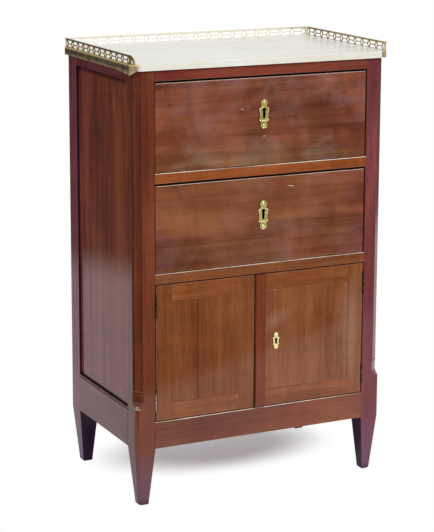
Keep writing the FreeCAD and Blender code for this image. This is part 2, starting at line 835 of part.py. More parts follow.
def door(side, seams, tools):
    first, last = door_x[side]
    wide_first, wide_last = stile_widths[side]
    inner = (f"{first} + {wide_first}", f"{last} - ({wide_last})")
    opening = (f"{door_low} + door_rail_height", f"{door_high} - door_rail_height")
    tongue_y = (f"{front} + tongue_inset", f"{front} + tongue_inset + tongue_thick")
    rail_blanks = []
    for name, z in (("foot", (door_low, opening[0])), ("head", (opening[1], door_high))):
        body = block(f"{side}_door_{name}_body", inner, door_y, z)
        tenon = block(
            f"{side}_door_{name}_tenon",
            (f"{inner[0]} - door_tenon", f"{inner[1]} + door_tenon"), tongue_y,
            (f"{z[0]} + tongue_length", f"{z[1]} - tongue_length"))
        rail_blanks.append(joined(f"{side}_door_{name}_blank", [body, tenon]))
    edges = [inner[0]] + list(seams) + [inner[1]]
    boards = []
    for i in range(len(edges) - 1):
        reach_first = "tongue_length" if i == 0 else "-panel_joint / 2"
        reach_last = "tongue_length" if i == len(edges) - 2 else "-panel_joint / 2"
        joint_first = "panel_joint" if i == 0 else "panel_joint / 2"
        joint_last = "panel_joint" if i == len(edges) - 2 else "panel_joint / 2"
        field = block(
            f"{side}_door_field", (f"{edges[i]} + {joint_first}", f"{edges[i + 1]} - {joint_last}"),
            (front, f"{front} + door_panel_thick"),
            (f"{opening[0]} + panel_joint", f"{opening[1]} - panel_joint"))
        tongue = block(
            f"{side}_door_tongue", (f"{edges[i]} - ({reach_first})", f"{edges[i + 1]} + {reach_last}"),
            tongue_y, (f"{opening[0]} - tongue_length", f"{opening[1]} + tongue_length"))
        boards.append(joined(f"{side}_door_board", [field, tongue]))
    panel = boards[0] if len(boards) == 1 else group(f"{side}_door_boards", boards)
    if tools["panel"]:
        panel = carved(f"{side}_door_panel", panel, tools["panel"])
    node(f"{side}_door_panel", panel)
    door_rails = [carved(f"{side}_door_rail", blank, boards) for blank in rail_blanks]
    node(f"{side}_door_rails", group(f"{side}_door_rails", door_rails))
    upright = (door_low, door_high)
    hinge_tools = []
    for leaves, pin, recess, seats in hinges[side]:
        hinge_tools = hinge_tools + [recess, seats["door"]]
    stiles = [
        carved(f"{side}_door_stile", block(f"{side}_stile_blank", span, door_y, upright),
               rail_blanks + boards + hinge_tools)
        for span in ((first, inner[0]), (inner[1], last))
    ]
    node(f"{side}_door_stiles", group(f"{side}_door_stiles", stiles))


door_middle = f"({door_low} + {door_high}) / 2"
door_key_x = f"{meeting_right} + door_key_inset"
door_key = ("door_key_radius", "door_key_slot_width", "door_key_slot_length")
door_plate_z = f"{door_middle} - door_key_drop"
door_key_z = f"{door_plate_z} + door_key_slot_length / 4"
panel_hole = keyhole("door_board_keyhole", door_key_x, door_key_z, *door_key, door_y)
door("left", ["board_joint"], {"panel": []})
door("right", [], {"panel": [panel_hole]})


# Closing strip down the meeting edge of the right door, its front arrises eased.

strip_blank = block(
    "strip_blank", (meeting_right, f"{meeting_right} + strip_width"), (f"{front} - strip_proud", front),
    (door_low, door_high))


def front_arris(edge):
    face = -size("case_depth") / 2 - size("strip_proud")
    upright = abs(edge.Vertexes[0].Z - edge.Vertexes[-1].Z) > size("strip_width")
    return upright and abs(edge.CenterOfMass.y - face) < same


node("closing_strip", rounded("closing_strip", strip_blank, front_arris, size("strip_round")))

# Door key plate, lock, bolt and keeper.

door_plate_hole = keyhole(
    "door_plate_keyhole", door_key_x, door_key_z, *door_key, (f"{front} - door_plate_thick - overrun", front))
door_plate = key_plate(
    "door_plate", door_key_x, door_plate_z, "door_plate_length", "door_plate_width", "door_plate_thick")
node("door_escutcheon", carved("door_escutcheon", door_plate, [door_plate_hole]))

door_lock_x = (f"{meeting_right} + door_lock_inset", f"{meeting_right} + door_lock_inset + door_lock_length")
door_lock_y = (door_back, f"{door_back} + lock_thick")
door_bolt_y = (
    f"{door_back} + lock_thick / 2 - lock_bolt_thick / 2",
    f"{door_back} + lock_thick / 2 + lock_bolt_thick / 2",
)
door_bolt_x = (f"{door_lock_x[0]} + bolt_fit", f"{door_lock_x[0]} + bolt_fit + door_bolt_length")
door_bolt_z = (f"{door_middle} - door_bolt_height / 2", f"{door_middle} + door_bolt_height / 2")
door_case = block(
    "door_lock_body", door_lock_x, door_lock_y,
    (f"{door_middle} - door_lock_height / 2", f"{door_middle} + door_lock_height / 2"))
door_channel = block(
    "door_bolt_channel", (f"{door_lock_x[0]} - overrun", f"{door_bolt_x[1]} + bolt_fit"),
    (f"{door_bolt_y[0]} - bolt_fit", f"{door_bolt_y[1]} + bolt_fit"),
    (f"{door_bolt_z[0]} - bolt_fit", f"{door_bolt_z[1]} + bolt_fit"))
node("door_lock_case", carved("door_lock_case", door_case, [door_channel]))
node("door_lock_bolt", block("door_lock_bolt", door_bolt_x, door_bolt_y, door_bolt_z))

keeper_x = (f"{meeting_left} - keeper_inset - keeper_width", f"{meeting_left} - keeper_inset")
keeper_room = "mortise_fit + keeper_wall"
keeper_blank = block(
    "keeper_blank", keeper_x, (door_back, f"{door_bolt_y[1]} + {keeper_room}"),
    (f"{door_bolt_z[0]} - {keeper_room}", f"{door_bolt_z[1]} + {keeper_room}"))
keeper_mouth = block(
    "keeper_mouth", (f"{keeper_x[0]} - overrun", f"{keeper_x[1]} + overrun"),
    (f"{door_bolt_y[0]} - mortise_fit", f"{door_bolt_y[1]} + mortise_fit"),
    (f"{door_bolt_z[0]} - mortise_fit", f"{door_bolt_z[1]} + mortise_fit"))
node("lock_keeper", carved("lock_keeper", keeper_blank, [keeper_mouth]))

# Slide bolts on the back of the left door, near the meeting edge.

def slide_bolt(name, upward):
    plate_z = (
        (f"{door_high} - slide_inset - slide_length", f"{door_high} - slide_inset") if upward
        else (f"{door_low} + slide_inset", f"{door_low} + slide_inset + slide_length"))
    half = "slide_width / 2"
    plate = block(
        f"{name}_plate", (f"{slide_x} - {half}", f"{slide_x} + {half}"),
        (door_back, f"{door_back} + slide_plate"), plate_z)
    loop_half = "slide_bolt_radius + bolt_fit + slide_loop_wall"
    loops = [
        block(f"{name}_loop", (f"{slide_x} - ({loop_half})", f"{slide_x} + {loop_half}"),
              (f"{door_back} + slide_plate", f"{slide_y} + {loop_half}"), z)
        for z in (
            (plate_z[0], f"{plate_z[0]} + slide_loop_length"),
            (f"{plate_z[1]} - slide_loop_length", plate_z[1]),
        )
    ]
    bore = rod(f"{name}_bore", "slide_bolt_radius + bolt_fit", "slide_length", slide_x, slide_y, plate_z[0])
    holder = carved(f"{name}_holder", joined(f"{name}_loops", [plate] + loops), [bore])
    foot = (
        f"{door_high} - slide_bolt_drop - slide_bolt_length" if upward
        else f"{door_low} + slide_bolt_drop")
    shank = rod(f"{name}_shank", "slide_bolt_radius", "slide_bolt_length", slide_x, slide_y, foot)
    knob = rod(
        f"{name}_knob", "slide_knob_radius", "slide_knob_height", slide_x, slide_y,
        f"{foot} + slide_bolt_length / 2", Vector(0, 1, 0))
    node(name, joined(name, [shank, knob]))
    return holder


slide_holders = [slide_bolt("left_door_top_bolt", True), slide_bolt("left_door_foot_bolt", False)]
node("left_door_bolt_plates", group("left_door_bolt_plates", slide_holders))

# Marble slab with canted front corners, its front top arris eased.

slab_half = "case_width / 2 + slab_side_overhang"
slab_front = f"{front} - slab_front_overhang"
slab_outline = (
    (f"-({slab_half}) + slab_cant", slab_front), (f"{slab_half} - slab_cant", slab_front),
    (slab_half, f"{slab_front} + slab_cant"), (slab_half, rear),
    (f"-({slab_half})", rear), (f"-({slab_half})", f"{slab_front} + slab_cant"),
)
slab = prism("slab_body", slab_outline, (case_top, slab_top))


def slab_arris(edge):
    # The top edge between the two cants.
    height = slab.Shape.BoundBox.ZMax
    depth = slab.Shape.BoundBox.YMin
    on_top = abs(edge.CenterOfMass.z - height) < same
    return on_top and abs(edge.CenterOfMass.y - depth) < same


node("marble_top", rounded("marble_top", slab, slab_arris, size("slab_round")))

# Brass gallery. The plan is mitred strips round three sides, with a short return on each cant.

half_turn = math.tan(math.radians(45) / 2)
band_low = f"{case_top} - band_lap"


def band_plan(inner, outer):
    # Corners of the five strips between two distances out from the slab's edge.
    def ring(out):
        shift = f"({out})"
        wide = f"({slab_half} + {shift})"
        bend = f"{slab_front} + slab_cant - {shift} * {half_turn}"
        tip = f"({slab_half} - slab_cant + {shift} * sqrt(2))"
        return {"rear": (wide, f"{rear} + {shift}"), "bend": (wide, bend), "tip": (tip, slab_front)}

    near, far = ring(inner), ring(outer)

    def mirror(point):
        return (f"-({point[0]})", point[1])
    return {
        "back": [mirror(near["rear"]), near["rear"], far["rear"], mirror(far["rear"])],
        "right": [near["bend"], far["bend"], far["rear"], near["rear"]],
        "left": [mirror(near["bend"]), mirror(near["rear"]), mirror(far["rear"]), mirror(far["bend"])],
        "right_cant": [near["tip"], far["tip"], far["bend"], near["bend"]],
        "left_cant": [mirror(near["tip"]), mirror(near["bend"]), mirror(far["bend"]), mirror(far["tip"])],
    }


# The fret: two strands run together between pointed eyes, and leave a curved gap above and below
# each place where they meet.

fret_height = size("fret_height")
strand = size("strand")
fret_out = size("band_thick") / 2
slab_half_width = size("case_width") / 2 + size("slab_side_overhang")
slab_front_y = -size("case_depth") / 2 - size("slab_front_overhang")
slab_rear_y = size("case_depth") / 2
bend_y = slab_front_y + size("slab_cant") - fret_out * half_turn
stack = (
    "apron_bottom", "apron_height", "door_opening", "rail_height", "drawer_opening", "rail_height",
    "drawer_opening", "top_rail_height", "slab_thick",
)
slab_top_z = sum(size(alias) for alias in stack)
fret_foot = slab_top_z - size("band_sink")


def eye_arcs(middle, half, rise, centre):
    # Two arcs that meet in points above and below.
    ends = [Vector(middle, centre - rise, 0), Vector(middle, centre + rise, 0)]
    arcs = [
        Part.Arc(ends[0], Vector(middle + way * half, centre, 0), ends[1]).toShape()
        for way in (1, -1)
    ]
    return Part.Wire(arcs)


def fan_hole(middle, pitch, half, rise, centre, way):
    # Between two eyes: their strands' outer arcs, a long edge at the rail and a short one at the middle.
    radius = (half ** 2 + rise ** 2) / (2 * half)
    outer = radius + strand
    levels = (centre + way * strand / 2, centre + way * (fret_height - strand) / 2)

    def side_arc(eye_x, turn):
        hub_x = eye_x - turn * (radius - half)
        spans = [math.sqrt(outer ** 2 - (level - centre) ** 2) for level in levels]
        ends = [Vector(hub_x + turn * span, level, 0) for span, level in zip(spans, levels)]
        angles = [math.atan2(end.y - centre, end.x - hub_x) for end in ends]
        half_way = (angles[0] + angles[1]) / 2
        between = Vector(hub_x + outer * math.cos(half_way), centre + outer * math.sin(half_way), 0)
        return ends, Part.Arc(ends[0], between, ends[1]).toShape()
    first_ends, first = side_arc(middle - pitch / 2, 1)
    last_ends, last = side_arc(middle + pitch / 2, -1)
    bars = [Part.makeLine(first_ends[i], last_ends[i]) for i in range(len(levels))]
    return Part.Wire(Part.__sortEdges__([first, last] + bars))


def fret_face(length, count):
    margin = size("fret_margin")
    half = size("eye_width") / 2
    pitch = (length - 2 * margin - 2 * half) / (count - 1)
    centre = fret_height / 2
    rise = fret_height / 2 - size("eye_gap")
    outline = Part.makePolygon([
        Vector(0, 0, 0), Vector(length, 0, 0), Vector(length, fret_height, 0), Vector(0, fret_height, 0),
        Vector(0, 0, 0),
    ])
    wires = [outline]
    for i in range(count):
        wires.append(eye_arcs(margin + half + pitch * i, half, rise, centre))
    for i in range(count - 1):
        for way in (1, -1):
            wires.append(fan_hole(margin + half + pitch * (i + 1 / 2), pitch, half, rise, centre, way))
    return Part.makeFace(Part.Compound(wires), "Part::FaceMakerBullseye")


def stand(shape, start, along):
    # Stands a flat shape upright on the band: its length runs along, its height up.
    frame = FreeCAD.Matrix()
    up = Vector(0, 0, 1)
    out = along.cross(up)
    frame.A11, frame.A21, frame.A31 = along
    frame.A12, frame.A22, frame.A32 = up
    frame.A13, frame.A23, frame.A33 = out
    frame.A14, frame.A24, frame.A34 = start
    return shape.transformGeometry(frame)


def shoulder_arc(run, high, out):
    # A curve that falls from the top rail over a rounded shoulder to the band.
    bulge = out * math.sqrt(1 / 2)
    middle = Vector(run * shoulder_share + bulge, high * shoulder_share + bulge, 0)
    return Part.Arc(Vector(0, high + out, 0), middle, Vector(run + out, 0, 0)).toShape()


def strut_face(run, high):
    # The plate under the shoulder, with one curved opening in it.
    foot = Part.makePolygon([Vector(run, 0, 0), Vector(0, 0, 0), Vector(0, high, 0)])
    outline = Part.Wire(Part.__sortEdges__([shoulder_arc(run, high, 0)] + foot.Edges))
    inset = shoulder_arc(run, high, -strand)
    ends = [Vector(strand, high - 2 * strand, 0), Vector(run - strand, strand, 0)]
    corner = Vector(strand, strand, 0)
    middle = inset.valueAt((inset.FirstParameter + inset.LastParameter) / 2)
    hole = Part.Wire(Part.__sortEdges__([
        Part.Arc(ends[0], middle, ends[1]).toShape(),
        Part.makeLine(ends[1], corner), Part.makeLine(corner, ends[0]),
    ]))
    return Part.makeFace(Part.Compound([outline, hole]), "Part::FaceMakerBullseye")


def strut_cap_face(run, high, thick):
    # The top rail carried down over the shoulder.
    ends = [
        Part.makeLine(Vector(0, high, 0), Vector(0, high + thick, 0)),
        Part.makeLine(Vector(run, 0, 0), Vector(run + thick, 0, 0)),
    ]
    arcs = [shoulder_arc(run, high, 0), shoulder_arc(run, high, thick)]
    return Part.Face(Part.Wire(Part.__sortEdges__(arcs + ends)))


cap_half = size("band_thick") / 2
side_length = slab_rear_y + fret_out - bend_y
back_length = 2 * (slab_half_width + fret_out)
fret_half = size("fret_thick") / 2
cap_height = size("cap_height")
lanes = {
    "back": (Vector(-slab_half_width - fret_out, slab_rear_y + fret_out, fret_foot), Vector(1, 0, 0)),
    "left": (Vector(-slab_half_width - fret_out, bend_y, fret_foot), Vector(0, 1, 0)),
    "right": (Vector(slab_half_width + fret_out, bend_y, fret_foot), Vector(0, 1, 0)),
}
diagonal = math.sqrt(1 / 2)
ramps = {
    "left": (lanes["left"][0], Vector(diagonal, -diagonal, 0)),
    "right": (lanes["right"][0], Vector(-diagonal, -diagonal, 0)),
}


def slab_of(face, half):
    # Thickens a flat face equally to both sides.
    return face.translated(Vector(0, 0, -half)).extrude(Vector(0, 0, 2 * half))


# The band hangs below the slab and tapers along the cant to a scroll. Towards the bend the left
# strip sweeps down and the right one up.

case_top_z = slab_top_z - size("slab_thick")
band_hang = case_top_z - size("band_lap")
band_foot = {side: band_hang - size(f"band_{side}_drop") for side in ("left", "right")}
spare = 2 * size("band_thick")
scroll_y = slab_front_y + size("scroll_radius")
scroll_x = slab_half_width - size("slab_cant") + size("scroll_radius") * (1 + math.sqrt(2))
taper_end = (slab_half_width + fret_out - scroll_x + bend_y - scroll_y) * diagonal


def side_profile(side):
    sweep = size("band_sweep")
    drop = size(f"band_{side}_drop")
    foot = band_foot[side]
    radius = (sweep ** 2 + drop ** 2) / (2 * abs(drop))
    sag = math.copysign(radius - math.sqrt(radius ** 2 - (sweep / 2) ** 2), drop)
    curve = Part.Arc(
        Vector(0, foot, 0), Vector(sweep / 2, band_hang - sag, 0), Vector(sweep, band_hang, 0)).toShape()
    rest = Part.makePolygon([
        Vector(sweep, band_hang, 0), Vector(side_length + spare, band_hang, 0),
        Vector(side_length + spare, fret_foot, 0), Vector(-spare, fret_foot, 0),
        Vector(-spare, foot, 0), Vector(0, foot, 0),
    ])
    return Part.Face(Part.Wire(Part.__sortEdges__([curve] + rest.Edges)))


def cant_profile(side):
    flat = size("strut_run") + size("cap_height")
    foot = band_foot[side]
    return Part.Face(Part.makePolygon([
        Vector(-spare, foot, 0), Vector(0, foot, 0), Vector(taper_end, case_top_z, 0),
        Vector(taper_end, case_top_z + size("band_tip"), 0), Vector(flat, fret_foot, 0),
        Vector(-spare, fret_foot, 0), Vector(-spare, foot, 0),
    ]))


def trimmed(name, blank, face, start, along):
    # Keeps the part of a strip that lies behind an upright profile.
    level = Vector(start.x, start.y, 0)
    profile = shape_piece(f"{name}_profile", stand(slab_of(face, spare), level, along))
    kept = doc.addObject("Part::Common", name)
    kept.Base = blank
    kept.Tool = profile
    kept.Refine = True
    return kept


deep = f"{case_top} - band_lap - abs(band_left_drop) - abs(band_right_drop)"
reach = "slab_cant - scroll_radius * (1 + sqrt(2))"
band_pieces = []
for name, points in band_plan("0", "band_thick").items():
    if name == "back":
        band_pieces.append(prism("band_back", points, (band_low, band_top)))
        continue
    blank = prism(f"band_{name}_strip", points, (deep, band_top))
    side = name.split("_")[0]
    if name == side:
        band_pieces.append(trimmed(f"band_{name}", blank, side_profile(side), *lanes[side]))
        continue
    tapered = trimmed(f"band_{name}_taper", blank, cant_profile(side), *ramps[side])
    way = "-" if side == "left" else ""
    scroll = rod(
        f"band_{side}_scroll", "scroll_radius", "scroll_height", f"{way}({slab_half} - ({reach}))",
        f"{slab_front} + scroll_radius", f"{band_top} - scroll_height")
    band_pieces.append(joined(f"band_{name}", [tapered, scroll]))
node("gallery_band", group("gallery_band", band_pieces))

fret_pieces = []
for name, (start, along) in lanes.items():
    if name == "back":
        start = start + along * fret_half
        face = fret_face(back_length - 2 * fret_half, fret_back_count)
    else:
        face = fret_face(side_length - fret_half, fret_side_count)
    fret_pieces.append(shape_piece(f"fret_{name}", stand(slab_of(face, fret_half), start, along)))
strut_start = cap_half * half_turn
strut_run = size("strut_run") - strut_start
for name, (start, along) in ramps.items():
    begin = start + along * strut_start
    face = strut_face(strut_run, fret_height)
    fret_pieces.append(shape_piece(f"fret_{name}_strut", stand(slab_of(face, fret_half), begin, along)))
node("gallery_fret", group("gallery_fret", fret_pieces))

cap_low = f"{band_top} + fret_height"
cap_pieces = []
for name, points in band_plan("0", "band_thick").items():
    if not name.endswith("cant"):
        cap_pieces.append(prism(f"cap_{name}", points, (cap_low, f"{cap_low} + cap_height")))
for name, (start, along) in ramps.items():
    begin = start + along * strut_start
    face = strut_cap_face(strut_run, fret_height, cap_height)
    cap_pieces.append(shape_piece(f"cap_{name}_strut", stand(slab_of(face, cap_half), begin, along)))
node("gallery_cap", group("gallery_cap", cap_pieces))

# Every piece is checked before any is written.

doc.recompute()
faults = [item.Label for item in doc.Objects if {"Invalid", "Error"} & set(item.State)]
for label, item in nodes.items():
    if item.Shape.isNull() or not item.Shape.isValid() or not item.Shape.Solids:
        faults.append(label)
if faults:
    raise RuntimeError(f"these pieces failed: {sorted(set(faults))}")

os.makedirs("parts", exist_ok=True)
for label, item in nodes.items():
    item.Shape.exportStep(f"parts/{label}.step")
print(len(nodes), "pieces written")
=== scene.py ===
import bmesh
import bpy
import json
import math
from mathutils import Matrix, Vector

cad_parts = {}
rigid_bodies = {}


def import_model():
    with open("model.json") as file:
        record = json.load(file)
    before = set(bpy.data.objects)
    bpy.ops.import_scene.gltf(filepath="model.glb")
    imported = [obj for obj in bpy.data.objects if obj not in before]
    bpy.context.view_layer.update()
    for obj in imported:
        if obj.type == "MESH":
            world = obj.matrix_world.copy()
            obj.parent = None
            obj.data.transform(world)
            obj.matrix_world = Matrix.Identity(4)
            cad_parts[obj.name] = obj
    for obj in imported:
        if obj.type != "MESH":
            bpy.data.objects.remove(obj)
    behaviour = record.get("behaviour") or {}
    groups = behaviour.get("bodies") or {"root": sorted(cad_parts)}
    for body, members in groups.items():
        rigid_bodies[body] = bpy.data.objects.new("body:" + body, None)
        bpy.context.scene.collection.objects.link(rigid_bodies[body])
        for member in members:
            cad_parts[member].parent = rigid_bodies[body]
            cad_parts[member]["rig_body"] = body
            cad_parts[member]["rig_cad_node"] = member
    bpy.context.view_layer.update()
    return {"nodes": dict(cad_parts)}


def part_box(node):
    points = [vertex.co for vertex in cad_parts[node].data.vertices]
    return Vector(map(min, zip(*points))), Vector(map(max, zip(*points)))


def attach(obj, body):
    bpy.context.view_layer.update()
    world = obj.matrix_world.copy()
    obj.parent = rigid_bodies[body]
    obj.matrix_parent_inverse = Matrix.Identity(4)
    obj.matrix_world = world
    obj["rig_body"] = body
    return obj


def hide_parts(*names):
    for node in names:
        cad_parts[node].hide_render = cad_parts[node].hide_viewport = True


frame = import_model()
print("frame loaded:", len(frame["nodes"]), "pieces of the cabinet")

scene = bpy.context.scene
scene.view_settings.view_transform = "Standard"


# Camera: in front, to the left and a little above

cameraSettings = {
    "aim": (0.0, 0.0, 0.440),
    "azimuth": -26.06, "elevation": 11.766, "roll": 0.209,   # degrees
    "offset": (0.01635, -0.09250), "distance": 3.82939,      # metres in the view's own axes
    "focalPixels": 1852.05, "raisedPixels": 50, "longSide": 532,
    "sensor": 36.0, "clipEnd": 200.0,                        # millimetres, then metres
}


def direction(azimuth, elevation):
    # from the cabinet outwards, in degrees; azimuth 0 is straight in front
    a, e = math.radians(azimuth), math.radians(elevation)
    return Vector((math.sin(a) * math.cos(e), -math.cos(a) * math.cos(e), math.sin(e)))


def makeCamera(s):
    forward = -direction(s["azimuth"], s["elevation"])
    right = forward.cross(Vector((0, 0, 1))).normalized()
    up = right.cross(forward)
    r = math.radians(s["roll"])
    right, up = (math.cos(r) * right + math.sin(r) * up, math.cos(r) * up - math.sin(r) * right)
    across, rise = s["offset"]
    place = Vector(s["aim"]) - right * across - up * rise - forward * s["distance"]
    bpy.ops.object.camera_add(location=place)
    camera = bpy.context.object
    camera.name = "camera"
    camera.rotation_euler = Matrix((right, up, -forward)).transposed().to_euler()
    camera.data.sensor_width = s["sensor"]
    camera.data.lens = s["sensor"] * s["focalPixels"] / s["longSide"]
    camera.data.shift_y = -s["raisedPixels"] / s["longSide"]
    camera.data.clip_end = s["clipEnd"]
    scene.camera = camera


makeCamera(cameraSettings)


# Node helpers: a sheet of nodes, a node, a wire, and what repeats in the materials

mixPlaces = {"amount": 0, "first": 6, "second": 7, "result": 2}   # a Mix node's colour sockets


def freshMaterial(name):
    material = bpy.data.materials.new(name)
    material.use_nodes = True
    tree = material.node_tree
    tree.nodes.clear()
    return material, tree


def addNode(tree, kind, **values):
    node = tree.nodes.new(kind)
    for key, value in values.items():
        if hasattr(node, key):
            setattr(node, key, value)
        else:
            node.inputs[key.replace("_", " ")].default_value = value
    return node


def wire(tree, source, target):
    tree.links.new(source, target)


def feed(tree, socket, value):
    # a wire from another node, a colour or a plain number
    if hasattr(value, "links"):
        wire(tree, value, socket)
    else:
        socket.default_value = (*value, 1) if isinstance(value, tuple) else value


def combined(tree, operation, first, second):
    node = addNode(tree, "ShaderNodeMath", operation=operation)
    feed(tree, node.inputs[0], first)
    feed(tree, node.inputs[1], second)
    return node.outputs[0]


def product(tree, first, second):
    return combined(tree, "MULTIPLY", first, second)


def ramp(tree, source, stops):
    node = addNode(tree, "ShaderNodeValToRGB")
    elements = node.color_ramp.elements
    while len(elements) < len(stops):
        elements.new(0.5)
    for element, (place, colour) in zip(elements, stops):
        element.position = place
        tone = (colour,) * 3 if isinstance(colour, (int, float)) else colour
        element.color = (*tone, 1)
    wire(tree, source, node.inputs["Fac"])
    return node.outputs["Color"]


def mixColour(tree, kind, amount, first, second):
    node = addNode(tree, "ShaderNodeMix", data_type="RGBA", blend_type=kind)
    feed(tree, node.inputs[mixPlaces["amount"]], amount)
    feed(tree, node.inputs[mixPlaces["first"]], first)
    feed(tree, node.inputs[mixPlaces["second"]], second)
    return node.outputs[mixPlaces["result"]]


def mixShader(tree, amount, first, second):
    node = addNode(tree, "ShaderNodeMixShader")
    for socket, value in zip(node.inputs, (amount, first, second)):
        wire(tree, value, socket)
    return node.outputs[0]


def stretched(tree, scale, shift, detail, roughness, distortion=0.0):
    # noise on the piece's own coordinates, drawn out along the grain
    place = addNode(tree, "ShaderNodeTexCoord")
    mapping = addNode(tree, "ShaderNodeMapping")
    mapping.inputs["Location"].default_value = shift
    mapping.inputs["Scale"].default_value = scale
    wire(tree, place.outputs["Object"], mapping.inputs["Vector"])
    noise = addNode(tree, "ShaderNodeTexNoise", Scale=1.0, Detail=detail, Roughness=roughness,
                    Distortion=distortion)
    wire(tree, mapping.outputs["Vector"], noise.inputs["Vector"])
    return noise.outputs["Fac"]


def coordinate(tree, axis):
    place = addNode(tree, "ShaderNodeTexCoord")
    split = addNode(tree, "ShaderNodeSeparateXYZ")
    wire(tree, place.outputs["Object"], split.inputs["Vector"])
    return split.outputs[axis]


def fade(tree, socket, start, end):
    node = addNode(tree, "ShaderNodeMapRange", interpolation_type="SMOOTHSTEP")
    node.inputs["From Min"].default_value = start
    node.inputs["From Max"].default_value = end
    wire(tree, socket, node.inputs["Value"])
    return node.outputs["Result"]


def ball(tree, place, half, turn=0.0):
    # 1 in the middle of an ellipsoid, falling to 0 at its skin
    where = addNode(tree, "ShaderNodeTexCoord")
    spot = addNode(tree, "ShaderNodeMapping", vector_type="TEXTURE")
    spot.inputs["Location"].default_value = place
    spot.inputs["Rotation"].default_value = (0, math.radians(turn), 0)
    spot.inputs["Scale"].default_value = half
    wire(tree, where.outputs["Object"], spot.inputs["Vector"])
    gradient = addNode(tree, "ShaderNodeTexGradient", gradient_type="SPHERICAL")
    wire(tree, spot.outputs["Vector"], gradient.inputs["Vector"])
    return gradient.outputs["Fac"]


def closeMaterial(tree, shader, colour, height=None, bump=None):
    # the colour, a little relief and the way out
    wire(tree, colour, shader.inputs["Base Color"])
    if height is not None:
        strength, depth = bump
        relief = addNode(tree, "ShaderNodeBump", Strength=strength, Distance=depth)
        wire(tree, height, relief.inputs["Height"])
        wire(tree, relief.outputs["Normal"], shader.inputs["Normal"])
    out = addNode(tree, "ShaderNodeOutputMaterial")
    wire(tree, shader.outputs[0], out.inputs["Surface"])


# Stage: a pale floor without an edge, soft light from the camera's side

stageSettings = {
    "floorSize": 60.0, "floorColour": (0.95, 0.95, 1.0), "floorGlow": 0.245,
    "glowColour": (0.94, 0.91, 1.0), "beyond": (0.05, 0.05, 0.055),
    "paperHalf": 1.70, "paperFront": -0.75, "paperBack": 2.8,   # the lit paper, along the view, metres
    "softSide": 0.20, "softFront": 0.05, "softBack": 0.5,
    "shadowMiddle": (0.03, 0.11, 0.0), "shadowHalf": (0.31, 0.18, 1.0),   # where the floor shows the shadow
    "shadowSoft": 0.62,
    "sunStrength": 2.5, "sunAzimuth": -4, "sunElevation": 46, "sunSpread": 20, "sunDistance": 4,
    "skyLight": 0.36,
}
seenDirectly = ("Is Camera Ray", "Is Glossy Ray", "Is Transmission Ray")
plainWhite = (1, 1, 1, 1)


def seenBy(tree, kinds):
    path = addNode(tree, "ShaderNodeLightPath")
    seen = path.outputs[kinds[0]]
    for kind in kinds[1:]:
        seen = combined(tree, "MAXIMUM", seen, path.outputs[kind])
    return seen


def offPaper(tree, s):
    # 0 on the lit paper, 1 in the darker studio around it
    place = addNode(tree, "ShaderNodeTexCoord")
    turn = addNode(tree, "ShaderNodeMapping", vector_type="TEXTURE")
    turn.inputs["Rotation"].default_value = (0, 0, math.radians(cameraSettings["azimuth"]))
    wire(tree, place.outputs["Object"], turn.inputs["Vector"])
    split = addNode(tree, "ShaderNodeSeparateXYZ")
    wire(tree, turn.outputs["Vector"], split.inputs["Vector"])
    across = addNode(tree, "ShaderNodeMath", operation="ABSOLUTE")
    wire(tree, split.outputs["X"], across.inputs[0])
    side, front, back = s["paperHalf"], s["paperFront"], s["paperBack"]
    beside = fade(tree, across.outputs[0], side - s["softSide"], side + s["softSide"])
    before = fade(tree, split.outputs["Y"], front + s["softFront"], front - s["softFront"])
    behind = fade(tree, split.outputs["Y"], back - s["softBack"], back + s["softBack"])
    return combined(tree, "MAXIMUM", combined(tree, "MAXIMUM", beside, before), behind)


def makeFloor(s):
    bpy.ops.mesh.primitive_plane_add(size=s["floorSize"])
    floor = bpy.context.object
    floor.name = "floor"
    material, tree = freshMaterial("paleFloor")
    out = addNode(tree, "ShaderNodeOutputMaterial")
    paper = addNode(tree, "ShaderNodeBsdfDiffuse", Color=(*s["floorColour"], 1))
    glow = addNode(tree, "ShaderNodeEmission", Color=(*s["glowColour"], 1))
    wire(tree, product(tree, seenBy(tree, seenDirectly), s["floorGlow"]), glow.inputs["Strength"])
    lit = addNode(tree, "ShaderNodeAddShader")
    wire(tree, paper.outputs[0], lit.inputs[0])
    wire(tree, glow.outputs[0], lit.inputs[1])
    # the camera sees the shadow under the cabinet and plain white around it
    blank = addNode(tree, "ShaderNodeEmission", Color=plainWhite, Strength=1.0)
    around = fade(tree, ball(tree, s["shadowMiddle"], s["shadowHalf"]), s["shadowSoft"], 0.0)
    around = product(tree, around, seenBy(tree, ("Is Camera Ray",)))
    ground = mixShader(tree, around, lit.outputs[0], blank.outputs[0])
    # polish mirrors the paper near the cabinet and a darker studio beyond it
    dim = addNode(tree, "ShaderNodeBsdfDiffuse", Color=(*s["beyond"], 1))
    mirrored = product(tree, offPaper(tree, s), seenBy(tree, ("Is Glossy Ray",)))
    wire(tree, mixShader(tree, mirrored, ground, dim.outputs[0]), out.inputs["Surface"])
    floor.data.materials.append(material)


def makeSun(s):
    towards = direction(s["sunAzimuth"], s["sunElevation"])
    bpy.ops.object.light_add(type="SUN", location=towards * s["sunDistance"])
    sun = bpy.context.object
    sun.name = "softKey"
    sun.rotation_euler = towards.to_track_quat("Z", "Y").to_euler()
    sun.data.energy = s["sunStrength"]
    sun.data.angle = math.radians(s["sunSpread"])


def makeSky(s):
    world = bpy.data.worlds.new("studio")
    scene.world = world
    world.use_nodes = True
    tree = world.node_tree
    tree.nodes.clear()
    out = addNode(tree, "ShaderNodeOutputWorld")
    light = addNode(tree, "ShaderNodeBackground", Color=plainWhite, Strength=s["skyLight"])
    blank = addNode(tree, "ShaderNodeBackground", Color=plainWhite, Strength=1.0)
    seen = seenBy(tree, seenDirectly)
    wire(tree, mixShader(tree, seen, light.outputs[0], blank.outputs[0]), out.inputs["Surface"])


makeFloor(stageSettings)
makeSun(stageSettings)
makeSky(stageSettings)
print("camera, floor and light are set")


